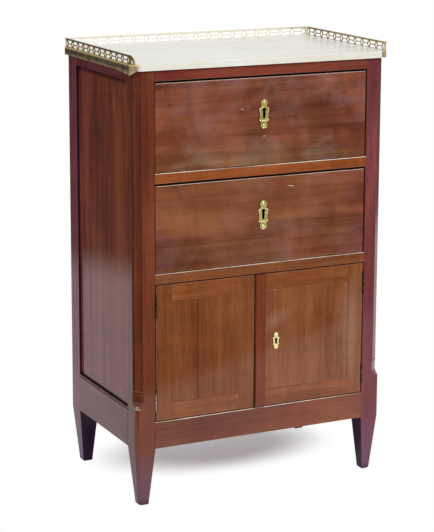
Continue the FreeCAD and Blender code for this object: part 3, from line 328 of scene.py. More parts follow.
# Polished mahogany: broad clouds, stripes, fine streaks, short dark pores and a ripple across the grain

grainAxes = {   # along the grain, then across it, for each way a board runs
    "x": lambda along, across: (along, across, across),
    "y": lambda along, across: (across, along, across),
    "z": lambda along, across: (across, across, along),
}

figureSettings = {   # repeats a metre along and across the grain, then detail, roughness and distortion
    "clouds": ((3.2, 9), 2, 0.5, 0.9), "stripes": ((2.2, 62), 3, 0.55, 0.5),
    "streaks": ((9, 380), 2, 0.5, 0.0), "pores": ((55, 1300), 1, 0.5, 0.0),
    "ripple": ((34, 5), 3, 0.55, 1.4), "bloom": ((11, 17), 3, 0.6, 0.4),
    "oakStripes": ((2, 44), 3, 0.6, 0.5), "oakPores": ((28, 620), 2, 0.5, 0.0),
}


def figure(tree, pattern, grain, shift, repeats=None):
    usual, detail, roughness, distortion = figureSettings[pattern]
    scale = grainAxes[grain](*(repeats or usual))
    return stretched(tree, scale, shift, detail, roughness, distortion)


# Tints that come in along an axis, and single marks: scratches, dulled spots, painted shade, painted
# highlights and painted reflections; sizes in metres

def shade(axis, start, end, colour, wander=0.0, cover=0.0):
    return {"axis": axis, "start": start, "end": end, "colour": colour, "wander": wander, "cover": cover}


def mark(place, half, colour, amount, turn=0.0, soft=0.6):
    return {"place": place, "half": half, "colour": colour, "amount": amount, "turn": turn, "soft": soft}


polishSettings = {   # for every piece, unless it has its own
    "stripe": 0.42, "fine": 0.26, "pore": 0.45, "gloss": 0.56, "waves": None, "shades": [], "marks": [],
    "tones": (0.36, 0.50, 0.64), "crests": [(0.34, 0.55), (0.52, 1.0), (0.70, 1.3)],
    "bloomReach": [(0.46, 0.0), (0.74, 1.0)], "bloomColour": (0.27, 0.155, 0.145), "bloomShift": (9, 4, 1),
    "specks": [(0.55, 1.0), (0.68, 0.40)], "rough": [(0.3, 0.34), (0.7, 0.44)],
    "specular": 0.01, "coatRough": 0.05, "bump": (0.12, 0.0004),
    "tip": shade("Z", 0.018, 0.0, (0.30, 0.28, 0.42)),
}
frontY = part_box("apron")[0].y
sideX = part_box("left_side_panel")[0].x
boardJoint = -0.141   # where the left door panel's two boards meet
pale = (0.62, 0.47, 0.34)
# pale colour of the painted reflection patches on the right door
paintedReflection = (0.40, 0.27, 0.19)

mahoganySettings = {
    "leftPost": {
        "dark": (0.098, 0.021, 0.009), "mid": (0.147, 0.036, 0.015), "light": (0.191, 0.051, 0.022),
        "grain": "z", "bloom": 0.03, "ripple": 0.10, "shift": (0, 0, 0),
        "marks": [
            # painted shade in the hollow of the chamfer stop, then a painted highlight on its upturned foot
            mark((-0.2672, -0.1603, 0.2200), (0.0150, 0.0150, 0.0190), (0.055, 0.017, 0.012), 0.7, soft=0.7),
            mark((-0.2676, -0.1607, 0.2034), (0.0079, 0.0079, 0.0047), (1.0, 0.95, 0.90), 1.0, soft=0.36),
        ],
        "foot": {"top": 0.15, "colour": (0.120, 0.050, 0.082), "amount": 0.95},
    },
    # painted shade: a darker copy of the post's wood for the cant, the face turned from the light
    "leftCant": {
        "dark": (0.078, 0.016, 0.008), "mid": (0.120, 0.029, 0.013), "light": (0.165, 0.044, 0.018),
        "grain": "z", "bloom": 0.0, "ripple": 0.25, "stripe": 0.7, "shift": (0, 3, 0),
        "shades": [shade("Y", -0.157, -0.1525, (0.55, 0.52, 0.72), 0.004)],
    },
    "rightPost": {
        "dark": (0.122, 0.025, 0.029), "mid": (0.168, 0.039, 0.041), "light": (0.221, 0.059, 0.056),
        "grain": "z", "bloom": 0.05, "ripple": 0.10, "shift": (4, 1, 6),
        "marks": [
            # painted highlight on the foot of the right chamfer stop
            mark((0.2672, -0.1603, 0.2035), (0.0075, 0.0075, 0.005), (0.50, 0.38, 0.36), 0.5, soft=0.5),
        ],
        "foot": {"top": 0.17, "colour": (0.135, 0.052, 0.106), "amount": 0.95},
    },
    "rearPost": {
        "dark": (0.135, 0.030, 0.046), "mid": (0.190, 0.046, 0.070), "light": (0.250, 0.068, 0.095),
        "grain": "z", "bloom": 0.03, "ripple": 0.10, "shift": (2, 7, 1),
        "shades": [
            shade("Y", 0.1655, 0.1675, (0.85, 1.25, 0.50)),
            shade("X", 0.0, 0.1, (0.95, 1.15, 0.65)),
        ],
        "foot": {"top": 0.19, "colour": (0.082, 0.034, 0.092), "amount": 1.0},
    },
    # painted shade: dark, duller wood for the legs' faces that look in under the cabinet
    "legShade": {
        "dark": (0.016, 0.005, 0.018), "mid": (0.030, 0.011, 0.036), "light": (0.046, 0.018, 0.050),
        "grain": "z", "bloom": 0.0, "ripple": 0.05, "gloss": 0.25, "shift": (1, 1, 1),
    },
    "rail": {
        "dark": (0.172, 0.042, 0.010), "mid": (0.258, 0.069, 0.018), "light": (0.318, 0.097, 0.029),
        "grain": "x", "bloom": 0.03, "ripple": 0.22, "shift": (3, 1, 7),
        "shades": [
            shade("Z", 0.52, 0.49, (0.77, 0.94, 1.26)),
            shade("Z", 0.60, 0.63, (1.06, 1.06, 1.06)),
        ],
    },
    "topRail": {
        "dark": (0.132, 0.024, 0.015), "mid": (0.190, 0.040, 0.023), "light": (0.255, 0.064, 0.036),
        "grain": "x", "bloom": 0.03, "ripple": 0.20, "shift": (8, 1, 3),
        "shades": [
            shade("X", 0.06, 0.20, (0.78, 0.76, 0.84), 0.05),
            shade("X", -0.14, -0.21, (0.82, 0.74, 0.90), 0.05),
        ],
    },
    "apron": {
        "dark": (0.130, 0.034, 0.016), "mid": (0.168, 0.046, 0.022), "light": (0.210, 0.064, 0.030),
        "grain": "x", "bloom": 0.06, "ripple": 0.15, "shift": (6, 2, 2),
        "shades": [
            shade("X", 0.02, -0.18, (0.86, 0.82, 0.86), 0.1),
            shade("X", 0.0, 0.15, (1.12, 1.10, 1.12), 0.1),
        ],
    },
    "skirt": {
        "dark": (0.080, 0.020, 0.014), "mid": (0.125, 0.034, 0.026), "light": (0.180, 0.060, 0.042),
        "grain": "y", "bloom": 0.05, "ripple": 0.10, "shift": (5, 2, 3),
    },
    "sideRail": {
        "dark": (0.100, 0.018, 0.020), "mid": (0.150, 0.032, 0.034), "light": (0.200, 0.050, 0.048),
        "grain": "y", "bloom": 0.03, "ripple": 0.10, "shift": (5, 5, 3),
    },
    "upperDrawer": {
        "dark": (0.098, 0.025, 0.013), "mid": (0.174, 0.054, 0.027), "light": (0.255, 0.090, 0.046),
        "grain": "x", "bloom": 0.42, "ripple": 0.55, "shift": (1, 4, 2),
        "waves": (15, 6), "fine": 0.12, "pore": 0.25,
        "shades": [
            shade("Z", 0.735, 0.685, (1.0, 1.20, 1.0), 0.08),
            shade("X", -0.15, -0.22, (1.0, 0.86, 0.74), 0.06),
            shade("X", 0.13, 0.22, (1.0, 0.86, 0.90), 0.06),
            shade("Z", 0.825, 0.842, (1.08, 1.06, 1.12), 0.03),
        ],
        "marks": [
            mark((-0.047, frontY, 0.782), (0.0042, 1, 0.0011), pale, 0.75),
            mark((0.002, frontY, 0.726), (0.0045, 1, 0.0010), pale, 0.65, turn=-8),
        ],
    },
    "lowerDrawer": {
        "dark": (0.090, 0.026, 0.010), "mid": (0.161, 0.054, 0.022), "light": (0.234, 0.086, 0.037),
        "grain": "x", "bloom": 0.26, "ripple": 0.48, "shift": (2, 3, 5),
        "waves": (13, 6), "fine": 0.12, "pore": 0.25,
        "shades": [
            shade("Z", 0.60, 0.645, (1.14, 1.16, 1.16), 0.06),
            shade("X", -0.15, -0.225, (0.90, 0.82, 0.84), 0.08),
            shade("X", 0.15, 0.225, (0.86, 0.76, 0.88), 0.06),
            shade("X", -0.02, 0.10, (1.17, 1.16, 1.20), 0.08),
        ],
        "marks": [
            mark((0.062, frontY, 0.622), (0.0095, 1, 0.0013), pale, 0.8, turn=9),
            mark((-0.140, frontY, 0.622), (0.110, 1, 0.040), (0.100, 0.028, 0.012), 0.26, soft=1.0),
            mark((0.150, frontY, 0.560), (0.055, 1, 0.010), (0.085, 0.022, 0.014), 0.55, turn=6, soft=1.0),
        ],
    },
    "leftDoor": {
        "dark": (0.118, 0.032, 0.009), "mid": (0.179, 0.054, 0.016), "light": (0.232, 0.078, 0.024),
        "grain": "z", "bloom": 0.05, "ripple": 0.20, "stripe": 0.46, "shift": (7, 3, 1),
        "marks": [
            mark((boardJoint + 0.0040, frontY, 0.330), (0.0034, 1, 0.115), (0.215, 0.050, 0.018), 0.55,
                 soft=0.8),
        ],
    },
    "rightDoor": {
        "dark": (0.140, 0.041, 0.013), "mid": (0.208, 0.068, 0.023), "light": (0.268, 0.098, 0.035),
        "grain": "z", "bloom": 0.10, "ripple": 0.18, "stripe": 0.50, "shift": (2, 6, 5),
        "marks": [
            # painted reflection: soft pale patches in the door's polish
            mark((0.026, frontY, 0.350), (0.046, 1, 0.020), paintedReflection, 0.26, turn=-25, soft=1.0),
            mark((0.206, frontY, 0.352), (0.040, 1, 0.085), paintedReflection, 0.22, soft=1.0),
            mark((0.202, frontY, 0.262), (0.022, 1, 0.085), paintedReflection, 0.20, soft=1.0),
        ],
    },
    "doorRail": {
        "dark": (0.142, 0.040, 0.012), "mid": (0.212, 0.065, 0.020), "light": (0.285, 0.098, 0.033),
        "grain": "x", "bloom": 0.03, "ripple": 0.30, "shift": (4, 8, 6),
    },
    "strip": {
        "dark": (0.129, 0.030, 0.011), "mid": (0.169, 0.040, 0.015), "light": (0.206, 0.055, 0.022),
        "grain": "z", "bloom": 0.03, "ripple": 0.06, "shift": (3, 3, 9),
    },
    "sidePanel": {
        "dark": (0.105, 0.022, 0.014), "mid": (0.179, 0.039, 0.018), "light": (0.262, 0.066, 0.026),
        "grain": "z", "bloom": 0.0, "ripple": 0.22, "stripe": 0.66, "shift": (6, 5, 9),
        "shades": [
            shade("Y", 0.03, 0.11, (1.0, 1.0, 1.45), 0.05),
            # painted shade under the top rail and along the panel's foot, then a painted highlight along its
            # front edge
            shade("Z", 0.834, 0.841, (0.36, 0.30, 0.42)),
            shade("Z", 0.206, 0.201, (0.25, 0.20, 0.25)),
            shade("Y", -0.109, -0.114, (1.4, 1.5, 1.4)),
        ],
        "marks": [
            mark((sideX, 0.020, 0.715), (1, 0.060, 0.110), (0.075, 0.019, 0.014), 0.62, soft=1.0),
            mark((sideX, 0.000, 0.560), (1, 0.050, 0.090), (0.078, 0.020, 0.014), 0.62, soft=1.0),
            mark((sideX, -0.076, 0.650), (1, 0.026, 0.190), (0.285, 0.083, 0.026), 0.60, soft=0.9),
            mark((sideX, -0.058, 0.795), (1, 0.009, 0.040), (0.330, 0.105, 0.032), 0.60, soft=0.8),
            mark((sideX, 0.078, 0.620), (1, 0.014, 0.180), (0.235, 0.045, 0.026), 0.45, soft=0.9),
        ],
    },
    # painted shade: near black for the rear posts' recess walls and the skirts' top ledges
    "recess": {
        "dark": (0.010, 0.004, 0.010), "mid": (0.018, 0.008, 0.018), "light": (0.032, 0.014, 0.030),
        "grain": "z", "bloom": 0.0, "ripple": 0.0, "gloss": 0.2, "shift": (1, 5, 2),
    },
    # painted shade: near black for the walls inside the keyholes
    "keyCut": {
        "dark": (0.003, 0.002, 0.002), "mid": (0.005, 0.003, 0.003), "light": (0.009, 0.005, 0.004),
        "grain": "z", "bloom": 0.0, "ripple": 0.0, "gloss": 0.0, "shift": (1, 5, 2),
    },
}


def shaded(tree, colour, wander, s):
    # a tint that comes in along one axis, with an uneven edge
    place = coordinate(tree, s["axis"])
    if s["wander"]:
        uneven = addNode(tree, "ShaderNodeMath", operation="MULTIPLY_ADD")
        wire(tree, wander, uneven.inputs[0])
        uneven.inputs[1].default_value = s["wander"]
        wire(tree, place, uneven.inputs[2])
        place = uneven.outputs[0]
    middle = s["wander"] / 2
    reach = fade(tree, place, s["start"] + middle, s["end"] + middle)
    if s["cover"]:   # laid over the colour, not a tint
        return mixColour(tree, "MIX", product(tree, reach, s["cover"]), colour, s["colour"])
    return mixColour(tree, "MULTIPLY", reach, colour, s["colour"])


def marked(tree, colour, s):
    cover = ramp(tree, ball(tree, s["place"], s["half"], s["turn"]), [(0.0, 0.0), (s["soft"], s["amount"])])
    return mixColour(tree, "MIX", cover, colour, s["colour"])


def polishedWood(name, settings):
    s = {**polishSettings, **settings}
    material, tree = freshMaterial(name)
    shader = addNode(tree, "ShaderNodeBsdfPrincipled")
    patterns = ("clouds", "stripes", "streaks", "pores")
    clouds, stripes, streaks, pores = (figure(tree, each, s["grain"], s["shift"]) for each in patterns)
    ripple = figure(tree, "ripple", s["grain"], s["shift"], s["waves"])
    tone = mixColour(tree, "MIX", s["stripe"], clouds, stripes)
    tone = mixColour(tree, "MIX", s["fine"], tone, streaks)
    colour = ramp(tree, tone, list(zip(s["tones"], (s["dark"], s["mid"], s["light"]))))
    colour = mixColour(tree, "MULTIPLY", s["ripple"], colour, ramp(tree, ripple, s["crests"]))
    if s["bloom"]:   # faint grey bloom in the polish
        bloom = ramp(tree, figure(tree, "bloom", s["grain"], s["bloomShift"]), s["bloomReach"])
        colour = mixColour(tree, "MIX", product(tree, bloom, s["bloom"]), colour, s["bloomColour"])
    for tint in s["shades"]:
        colour = shaded(tree, colour, clouds, tint)
    specks = ramp(tree, pores, s["specks"])
    colour = mixColour(tree, "MULTIPLY", s["pore"], colour, specks)
    for spot in s["marks"]:
        colour = marked(tree, colour, spot)
    if "foot" in s:   # darker and duskier towards the floor
        foot = s["foot"]
        low = fade(tree, coordinate(tree, "Z"), foot["top"], 0.0)
        colour = mixColour(tree, "MIX", product(tree, low, foot["amount"]), colour, foot["colour"])
        colour = shaded(tree, colour, clouds, s["tip"])
    wire(tree, ramp(tree, streaks, s["rough"]), shader.inputs["Roughness"])
    shader.inputs["Specular IOR Level"].default_value = s["specular"]
    shader.inputs["Coat Weight"].default_value = s["gloss"]
    shader.inputs["Coat Roughness"].default_value = s["coatRough"]
    closeMaterial(tree, shader, colour, specks, s["bump"])
    return material


woods = {name: polishedWood(name + "Mahogany", s) for name, s in mahoganySettings.items()}

# Rubbed arrises: the same wood, paler and drier where hands and dusters have worn it; the pale and bright
# ones are also painted highlight, where an arris catches the light

wornSettings = {
    "softWorn": {
        "dark": (0.15, 0.050, 0.022), "mid": (0.25, 0.100, 0.048), "light": (0.42, 0.230, 0.130),
        "grain": "x", "bloom": 0.1, "ripple": 0.5, "gloss": 0.4, "shift": (2, 2, 2),
    },
    "paleWorn": {
        "dark": (0.22, 0.100, 0.055), "mid": (0.66, 0.550, 0.450), "light": (0.90, 0.820, 0.740),
        "grain": "x", "bloom": 0.0, "ripple": 0.6, "gloss": 0.4, "shift": (5, 2, 2),
    },
    "brightWorn": {
        "dark": (0.52, 0.420, 0.340), "mid": (0.92, 0.870, 0.810), "light": (0.95, 0.930, 0.900),
        "grain": "x", "bloom": 0.0, "ripple": 0.3, "gloss": 0.4, "shift": (8, 1, 2),
    },
    "postWorn": {
        "dark": (0.09, 0.020, 0.010), "mid": (0.15, 0.038, 0.017), "light": (0.22, 0.075, 0.038),
        "grain": "z", "bloom": 0.1, "ripple": 0.5, "gloss": 0.4, "shift": (1, 2, 8),
        "foot": {"top": 0.17, "colour": (0.10, 0.036, 0.060), "amount": 0.9},
    },
    "darkSeam": {
        "dark": (0.035, 0.010, 0.005), "mid": (0.065, 0.020, 0.009), "light": (0.11, 0.036, 0.014),
        "grain": "z", "bloom": 0.0, "ripple": 0.4, "gloss": 0.3, "shift": (4, 7, 4),
    },
    "jointWorn": {
        "dark": (0.16, 0.050, 0.018), "mid": (0.36, 0.190, 0.100), "light": (0.85, 0.720, 0.560),
        "grain": "z", "bloom": 0.0, "ripple": 0.6, "gloss": 0.4, "shift": (3, 7, 4),
    },
}
worns = {name: polishedWood(name + "Arris", s) for name, s in wornSettings.items()}

# Plain oak for what is out of sight

oakSettings = {
    "dark": (0.20, 0.115, 0.052), "mid": (0.33, 0.205, 0.100), "light": (0.44, 0.290, 0.155),
    "tones": (0.32, 0.5, 0.7), "rough": 0.62, "pore": 0.5, "specks": [(0.54, 1.0), (0.68, 0.5)],
    "bump": (0.25, 0.0005), "stripeShift": (2, 5, 1), "poreShift": (1, 3, 2),
}


def plainOak(name, grain, s):
    material, tree = freshMaterial(name)
    shader = addNode(tree, "ShaderNodeBsdfPrincipled", Roughness=s["rough"])
    stripes = figure(tree, "oakStripes", grain, s["stripeShift"])
    pores = figure(tree, "oakPores", grain, s["poreShift"])
    colour = ramp(tree, stripes, list(zip(s["tones"], (s["dark"], s["mid"], s["light"]))))
    specks = ramp(tree, pores, s["specks"])
    colour = mixColour(tree, "MULTIPLY", s["pore"], colour, specks)
    closeMaterial(tree, shader, colour, specks, s["bump"])
    return material


oaks = {grain: plainOak("oak" + grain.upper(), grain, oakSettings) for grain in "xyz"}

# Cast and rolled brass: bright where rubbed, browner in patches

brassSettings = {
    "cast": {"low": (0.40, 0.27, 0.03), "high": (1.0, 0.94, 0.44), "rough": (0.16, 0.38), "scale": 420,
             "metal": 0.6},
    "castBright": {"low": (0.90, 0.70, 0.10), "high": (1.0, 1.0, 0.60), "rough": (0.16, 0.36), "scale": 420,
                   "metal": 0.6},
    "castPale": {"low": (0.80, 0.62, 0.20), "high": (1.0, 0.93, 0.56), "rough": (0.20, 0.38), "scale": 420,
                 "metal": 0.5},
    "sunk": {"low": (0.18, 0.125, 0.030), "high": (0.72, 0.560, 0.160), "rough": (0.45, 0.65), "scale": 500,
             "metal": 0.8},
    # the left run darker, the right run browner, and painted light on the back run: pale cream where its
    # inner face is lit from the front
    "gallery": {"low": (0.55, 0.47, 0.26), "high": (0.92, 0.84, 0.58), "rough": (0.28, 0.48), "scale": 150,
                "metal": 0.7, "shades": [shade("X", -0.272, -0.276, (0.42, 0.31, 0.13)),
                                         shade("X", 0.272, 0.276, (0.55, 0.47, 0.34)),
                                         shade("Y", 0.161, 0.165, (0.96, 0.92, 0.80), cover=0.8)]},
    # the cap takes the same tones, with the same painted light on its back run
    "cap": {"low": (0.45, 0.38, 0.20), "high": (0.80, 0.72, 0.46), "rough": (0.28, 0.48), "scale": 150,
            "metal": 0.7, "shades": [shade("X", -0.272, -0.276, (0.26, 0.21, 0.12)),
                                     shade("X", 0.272, 0.276, (0.50, 0.42, 0.30)),
                                     shade("Y", 0.161, 0.165, (0.94, 0.90, 0.77), cover=0.8)]},
    "band": {"low": (0.085, 0.062, 0.030), "high": (0.40, 0.310, 0.140), "rough": (0.34, 0.55), "scale": 60,
             "metal": 0.6, "shades": [shade("Z", 0.8672, 0.8690, (0.42, 0.36, 0.36)),
                                      shade("Z", 0.8640, 0.8615, (1.5, 1.5, 1.5)),
                                      shade("Y", -0.150, -0.166, (0.66, 0.54, 0.27), cover=0.7),
                                      shade("Z", 0.8760, 0.8770, (0.86, 0.64, 0.29), cover=0.85),
                                      shade("X", 0.262, 0.268, (0.46, 0.37, 0.21), cover=0.8)]},
    "hinge": {"low": (0.010, 0.007, 0.005), "high": (0.10, 0.066, 0.026), "rough": (0.32, 0.55),
              "scale": 180, "metal": 0.9,
              # painted highlight: a thin bright line down the lower left hinge's knuckle
              "marks": [mark((-0.2331, -0.172, 0.2130), (0.0008, 0.01, 0.026), (0.95, 0.80, 0.50), 0.9,
                             soft=0.5)]},
    "dull": {"low": (0.11, 0.070, 0.025), "high": (0.40, 0.28, 0.10), "rough": (0.30, 0.55), "scale": 180,
             "metal": 1.0},
}
metalSettings = {   # for every metal, unless it has its own
    "shift": (1, 2, 3), "detail": 4, "uneven": 0.6, "patchStops": (0.36, 0.58), "roughStops": (0.35, 0.62),
    "bump": (0.15, 0.0003), "shades": [], "marks": [],
}


def agedBrass(name, settings):
    s = {**metalSettings, **settings}
    material, tree = freshMaterial(name)
    shader = addNode(tree, "ShaderNodeBsdfPrincipled", Metallic=s["metal"])
    patches = stretched(tree, (s["scale"],) * 3, s["shift"], s["detail"], s["uneven"])
    colour = ramp(tree, patches, list(zip(s["patchStops"], (s["low"], s["high"]))))
    for tint in s["shades"]:
        colour = shaded(tree, colour, patches, tint)
    for spot in s["marks"]:
        colour = marked(tree, colour, spot)
    smooth, dull = s["rough"]
    wire(tree, ramp(tree, patches, list(zip(s["roughStops"], (dull, smooth)))), shader.inputs["Roughness"])
    closeMaterial(tree, shader, colour, patches, s["bump"])
    return material


brasses = {name: agedBrass(name + "Brass", s) for name, s in brassSettings.items()}

steelSettings = {"low": (0.22, 0.21, 0.20), "high": (0.44, 0.43, 0.42), "rough": (0.3, 0.5), "scale": 400,
                 "metal": 1.0}
steel = agedBrass("pinSteel", steelSettings)

# White marble with faint warm and grey clouds

marbleSettings = {
    "white": (0.74, 0.74, 0.67), "warm": (0.70, 0.675, 0.565), "vein": (0.58, 0.57, 0.51), "rough": 0.24,
    "clouds": ((5, 9, 9), (1, 1, 1), 4, 0.55, 0.6), "veins": ((7, 16, 16), (4, 2, 3), 6, 0.6, 1.6),
    "cloudStops": (0.38, 0.56), "thin": [(0.465, 0.0), (0.5, 1.0), (0.535, 0.0)], "veinShow": 0.30,
}


def whiteMarble(name, s):
    material, tree = freshMaterial(name)
    shader = addNode(tree, "ShaderNodeBsdfPrincipled", Roughness=s["rough"])
    clouds = stretched(tree, *s["clouds"])
    veins = ramp(tree, stretched(tree, *s["veins"]), s["thin"])
    colour = ramp(tree, clouds, list(zip(s["cloudStops"], (s["warm"], s["white"]))))
    colour = mixColour(tree, "MIX", product(tree, veins, s["veinShow"]), colour, s["vein"])
    closeMaterial(tree, shader, colour)
    return material


marble = whiteMarble("whiteMarble", marbleSettings)
print("finishes are mixed")


# Which finish each piece of the frame wears

finishes = {
    "front_left_post": woods["leftPost"], "front_right_post": woods["rightPost"],
    "rear_left_post": woods["rearPost"], "rear_right_post": woods["rearPost"],
    "left_side_panel": woods["sidePanel"], "right_side_panel": woods["sidePanel"],
    "side_top_rails": woods["sideRail"], "left_skirt": woods["skirt"], "right_skirt": woods["skirt"],
    "front_top_rail": woods["topRail"], "drawer_rail": woods["rail"], "cupboard_rail": woods["rail"],
    "apron": woods["apron"],
    "upper_drawer_front": woods["upperDrawer"], "lower_drawer_front": woods["lowerDrawer"],
    "left_door_panel": woods["leftDoor"], "right_door_panel": woods["rightDoor"],
    "left_door_stiles": woods["leftDoor"], "right_door_stiles": woods["rightDoor"],
    "left_door_rails": woods["doorRail"], "right_door_rails": woods["doorRail"],
    "closing_strip": woods["strip"],
    "back_panel": oaks["z"], "back_top_rail": oaks["x"], "back_skirt": oaks["x"],
    "drawer_runners": oaks["y"], "drawer_guides": oaks["y"], "drawer_stops": oaks["x"],
    "top_kickers": oaks["y"], "dust_panels": oaks["x"], "cupboard_floor": oaks["x"], "shelf": oaks["x"],
    "shelf_battens": oaks["y"],
    "upper_drawer_sides": oaks["y"], "lower_drawer_sides": oaks["y"],
    "upper_drawer_back": oaks["x"], "lower_drawer_back": oaks["x"],
    "upper_drawer_bottom": oaks["x"], "lower_drawer_bottom": oaks["x"],
    "marble_top": marble,
    "gallery_band": brasses["band"], "gallery_fret": brasses["gallery"], "gallery_cap": brasses["cap"],
    "upper_escutcheon": brasses["cast"], "lower_escutcheon": brasses["cast"],
    "door_escutcheon": brasses["cast"],
    "hinge_post_leaves": brasses["hinge"], "left_hinge_leaves": brasses["hinge"],
    "right_hinge_leaves": brasses["hinge"], "hinge_pins": steel,
    "upper_lock_case": brasses["hinge"], "lower_lock_case": brasses["hinge"],
    "door_lock_case": brasses["hinge"],
    "upper_lock_bolt": brasses["dull"], "lower_lock_bolt": brasses["dull"],
    "door_lock_bolt": brasses["dull"],
    "lock_keeper": brasses["dull"], "left_door_bolt_plates": brasses["dull"],
    "left_door_top_bolt": brasses["dull"], "left_door_foot_bolt": brasses["dull"],
}

for name, piece in frame["nodes"].items():
    piece.data.materials.clear()
    piece.data.materials.append(finishes[name])
print("finishes are on")


# Working copies: a piece of the frame merged into one skin, so that its edges can be worked

workSettings = {   # metres and degrees
    "merge": 0.00001, "flat": 0.6, "sharp": 30, "smooth": 35, "castSmooth": 40,
    "bevelSteps": 2, "bevelShape": 0.5, "bevelFinish": 1, "faceWeight": 100,
}


def workedCopy(nodeName, name):
    bpy.ops.object.select_all(action="DESELECT")
    source = frame["nodes"][nodeName]
    source.select_set(True)
    bpy.context.view_layer.objects.active = source
    bpy.ops.object.duplicate()
    piece = bpy.context.object
    piece.name = name
    piece.data.name = name
    del piece["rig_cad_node"]
    bpy.ops.mesh.customdata_custom_splitnormals_clear()
    bpy.ops.object.mode_set(mode="EDIT")
    bpy.ops.mesh.select_all(action="SELECT")
    bpy.ops.mesh.remove_doubles(threshold=workSettings["merge"])
    bpy.ops.mesh.dissolve_limited(angle_limit=math.radians(workSettings["flat"]))
    bpy.ops.object.mode_set(mode="OBJECT")
    return piece


def settle(piece, nodeName):
    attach(piece, frame["nodes"][nodeName]["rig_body"])
    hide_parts(nodeName)


def pickEdges(piece, test):
    bpy.ops.object.mode_set(mode="EDIT")
    bpy.ops.mesh.select_mode(type="EDGE")
    bpy.ops.mesh.select_all(action="DESELECT")
    skin = bmesh.from_edit_mesh(piece.data)
    sharp = math.radians(workSettings["sharp"])
    for edge in skin.edges:
        if len(edge.link_faces) == 2 and edge.calc_face_angle() > sharp:
            first, last = (corner.co for corner in edge.verts)
            if test((first + last) / 2, last - first):
                edge.select_set(True)
    bmesh.update_edit_mesh(piece.data)


# Eased arrises on the show wood: tests on the middle of an edge and its run

doorLow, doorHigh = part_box("left_door_stiles")[0].z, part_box("left_door_stiles")[1].z
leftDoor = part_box("left_door_stiles")[0].x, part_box("left_door_stiles")[1].x
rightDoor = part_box("right_door_stiles")[0].x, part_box("right_door_stiles")[1].x
edgeSettings = {   # metres, then the share of a run that has to follow its axis
    "touch": 0.0002, "upright": 0.03, "rail": 0.2, "front": 0.05, "door": 0.01, "skirt": 0.1,
    "board": 0.001, "skirtX": 0.27, "mostly": 0.9,
}


def near(first, second):
    return abs(first - second) < edgeSettings["touch"]


def runsAlong(run, axis, kind):
    follows = abs(getattr(run, axis)) > edgeSettings["mostly"] * run.length
    return follows and run.length > edgeSettings[kind]


def uprightEdges(middle, run):
    return runsAlong(run, "z", "upright")


def railEdges(middle, run):
    return near(middle.y, frontY) and runsAlong(run, "x", "rail")


def drawerEdges(middle, run):
    return near(middle.y, frontY) and run.length > edgeSettings["front"]


def doorEdges(middle, run):
    ends = near(middle.z, doorLow) or near(middle.z, doorHigh)
    sides = any(near(middle.x, x) for x in leftDoor + rightDoor)
    return near(middle.y, frontY) and (ends or sides) and run.length > edgeSettings["door"]


def boardEdges(middle, run):
    return drawerEdges(middle, run) and abs(middle.x - boardJoint) < edgeSettings["board"]


def skirtEdges(middle, run):
    return runsAlong(run, "y", "skirt") and abs(middle.x) > edgeSettings["skirtX"]


# Where a worked piece changes its finish: tests on the middle of a face and the way it looks

plateNames = ("upper_escutcheon", "lower_escutcheon", "door_escutcheon")
keySpots = [sum(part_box(name), Vector()) / 2 for name in plateNames]
faceSettings = {   # places in metres, then how far a face has to look one way
    "arris": 0.002, "nick": (0.2335, 0.2385), "recess": (0.12, 0.13), "cantFoot": 0.23, "ledgeFoot": 0.17,
    "legTop": 0.118, "keyHalf": (0.006, 0.018),
    "tilted": 0.2, "sill": 0.3, "edgeOn": 0.5, "diagonal": 0.6, "facing": 0.7, "square": 0.9,
}


def between(value, limits):
    return limits[0] < value < limits[1]


# top arrises along the front, which take wear and a painted highlight
def topArris(middle, way):
    tilted = faceSettings["tilted"]
    return way.y < -tilted and way.z > tilted and abs(middle.y - frontY) < faceSettings["arris"]


# leg faces that look in under the cabinet, which take the painted shade
def innerLeg(middle, way):
    inward = max(-way.x * math.copysign(1, middle.x), -way.y * math.copysign(1, middle.y))
    return middle.z < faceSettings["legTop"] and inward > faceSettings["facing"]


# the upward sill of the nick on the chamfer stop, which takes a painted highlight
def nickSill(middle, way):
    return way.z > faceSettings["sill"] and between(middle.z, faceSettings["nick"])


# the rear post's wall beside the recessed side panel, which takes painted shade
def recessWall(middle, way):
    return way.y < -faceSettings["square"] and between(middle.y, faceSettings["recess"])


# faces of the left post's cant, which take its painted shade
def leftCant(middle, way):
    return max(way.x, way.y) < -faceSettings["diagonal"] and middle.z > faceSettings["cantFoot"]


# walls inside the keyholes, which take the painted shade of keyCut
def keyWall(middle, way):
    wide, tall = faceSettings["keyHalf"]
    inside = any(abs(middle.x - spot.x) < wide and abs(middle.z - spot.z) < tall for spot in keySpots)
    return inside and abs(way.y) < faceSettings["edgeOn"]


# the skirt's top ledge under the side panel, which takes painted shade
def ledge(middle, way):
    return way.z > faceSettings["facing"] and middle.z > faceSettings["ledgeFoot"]


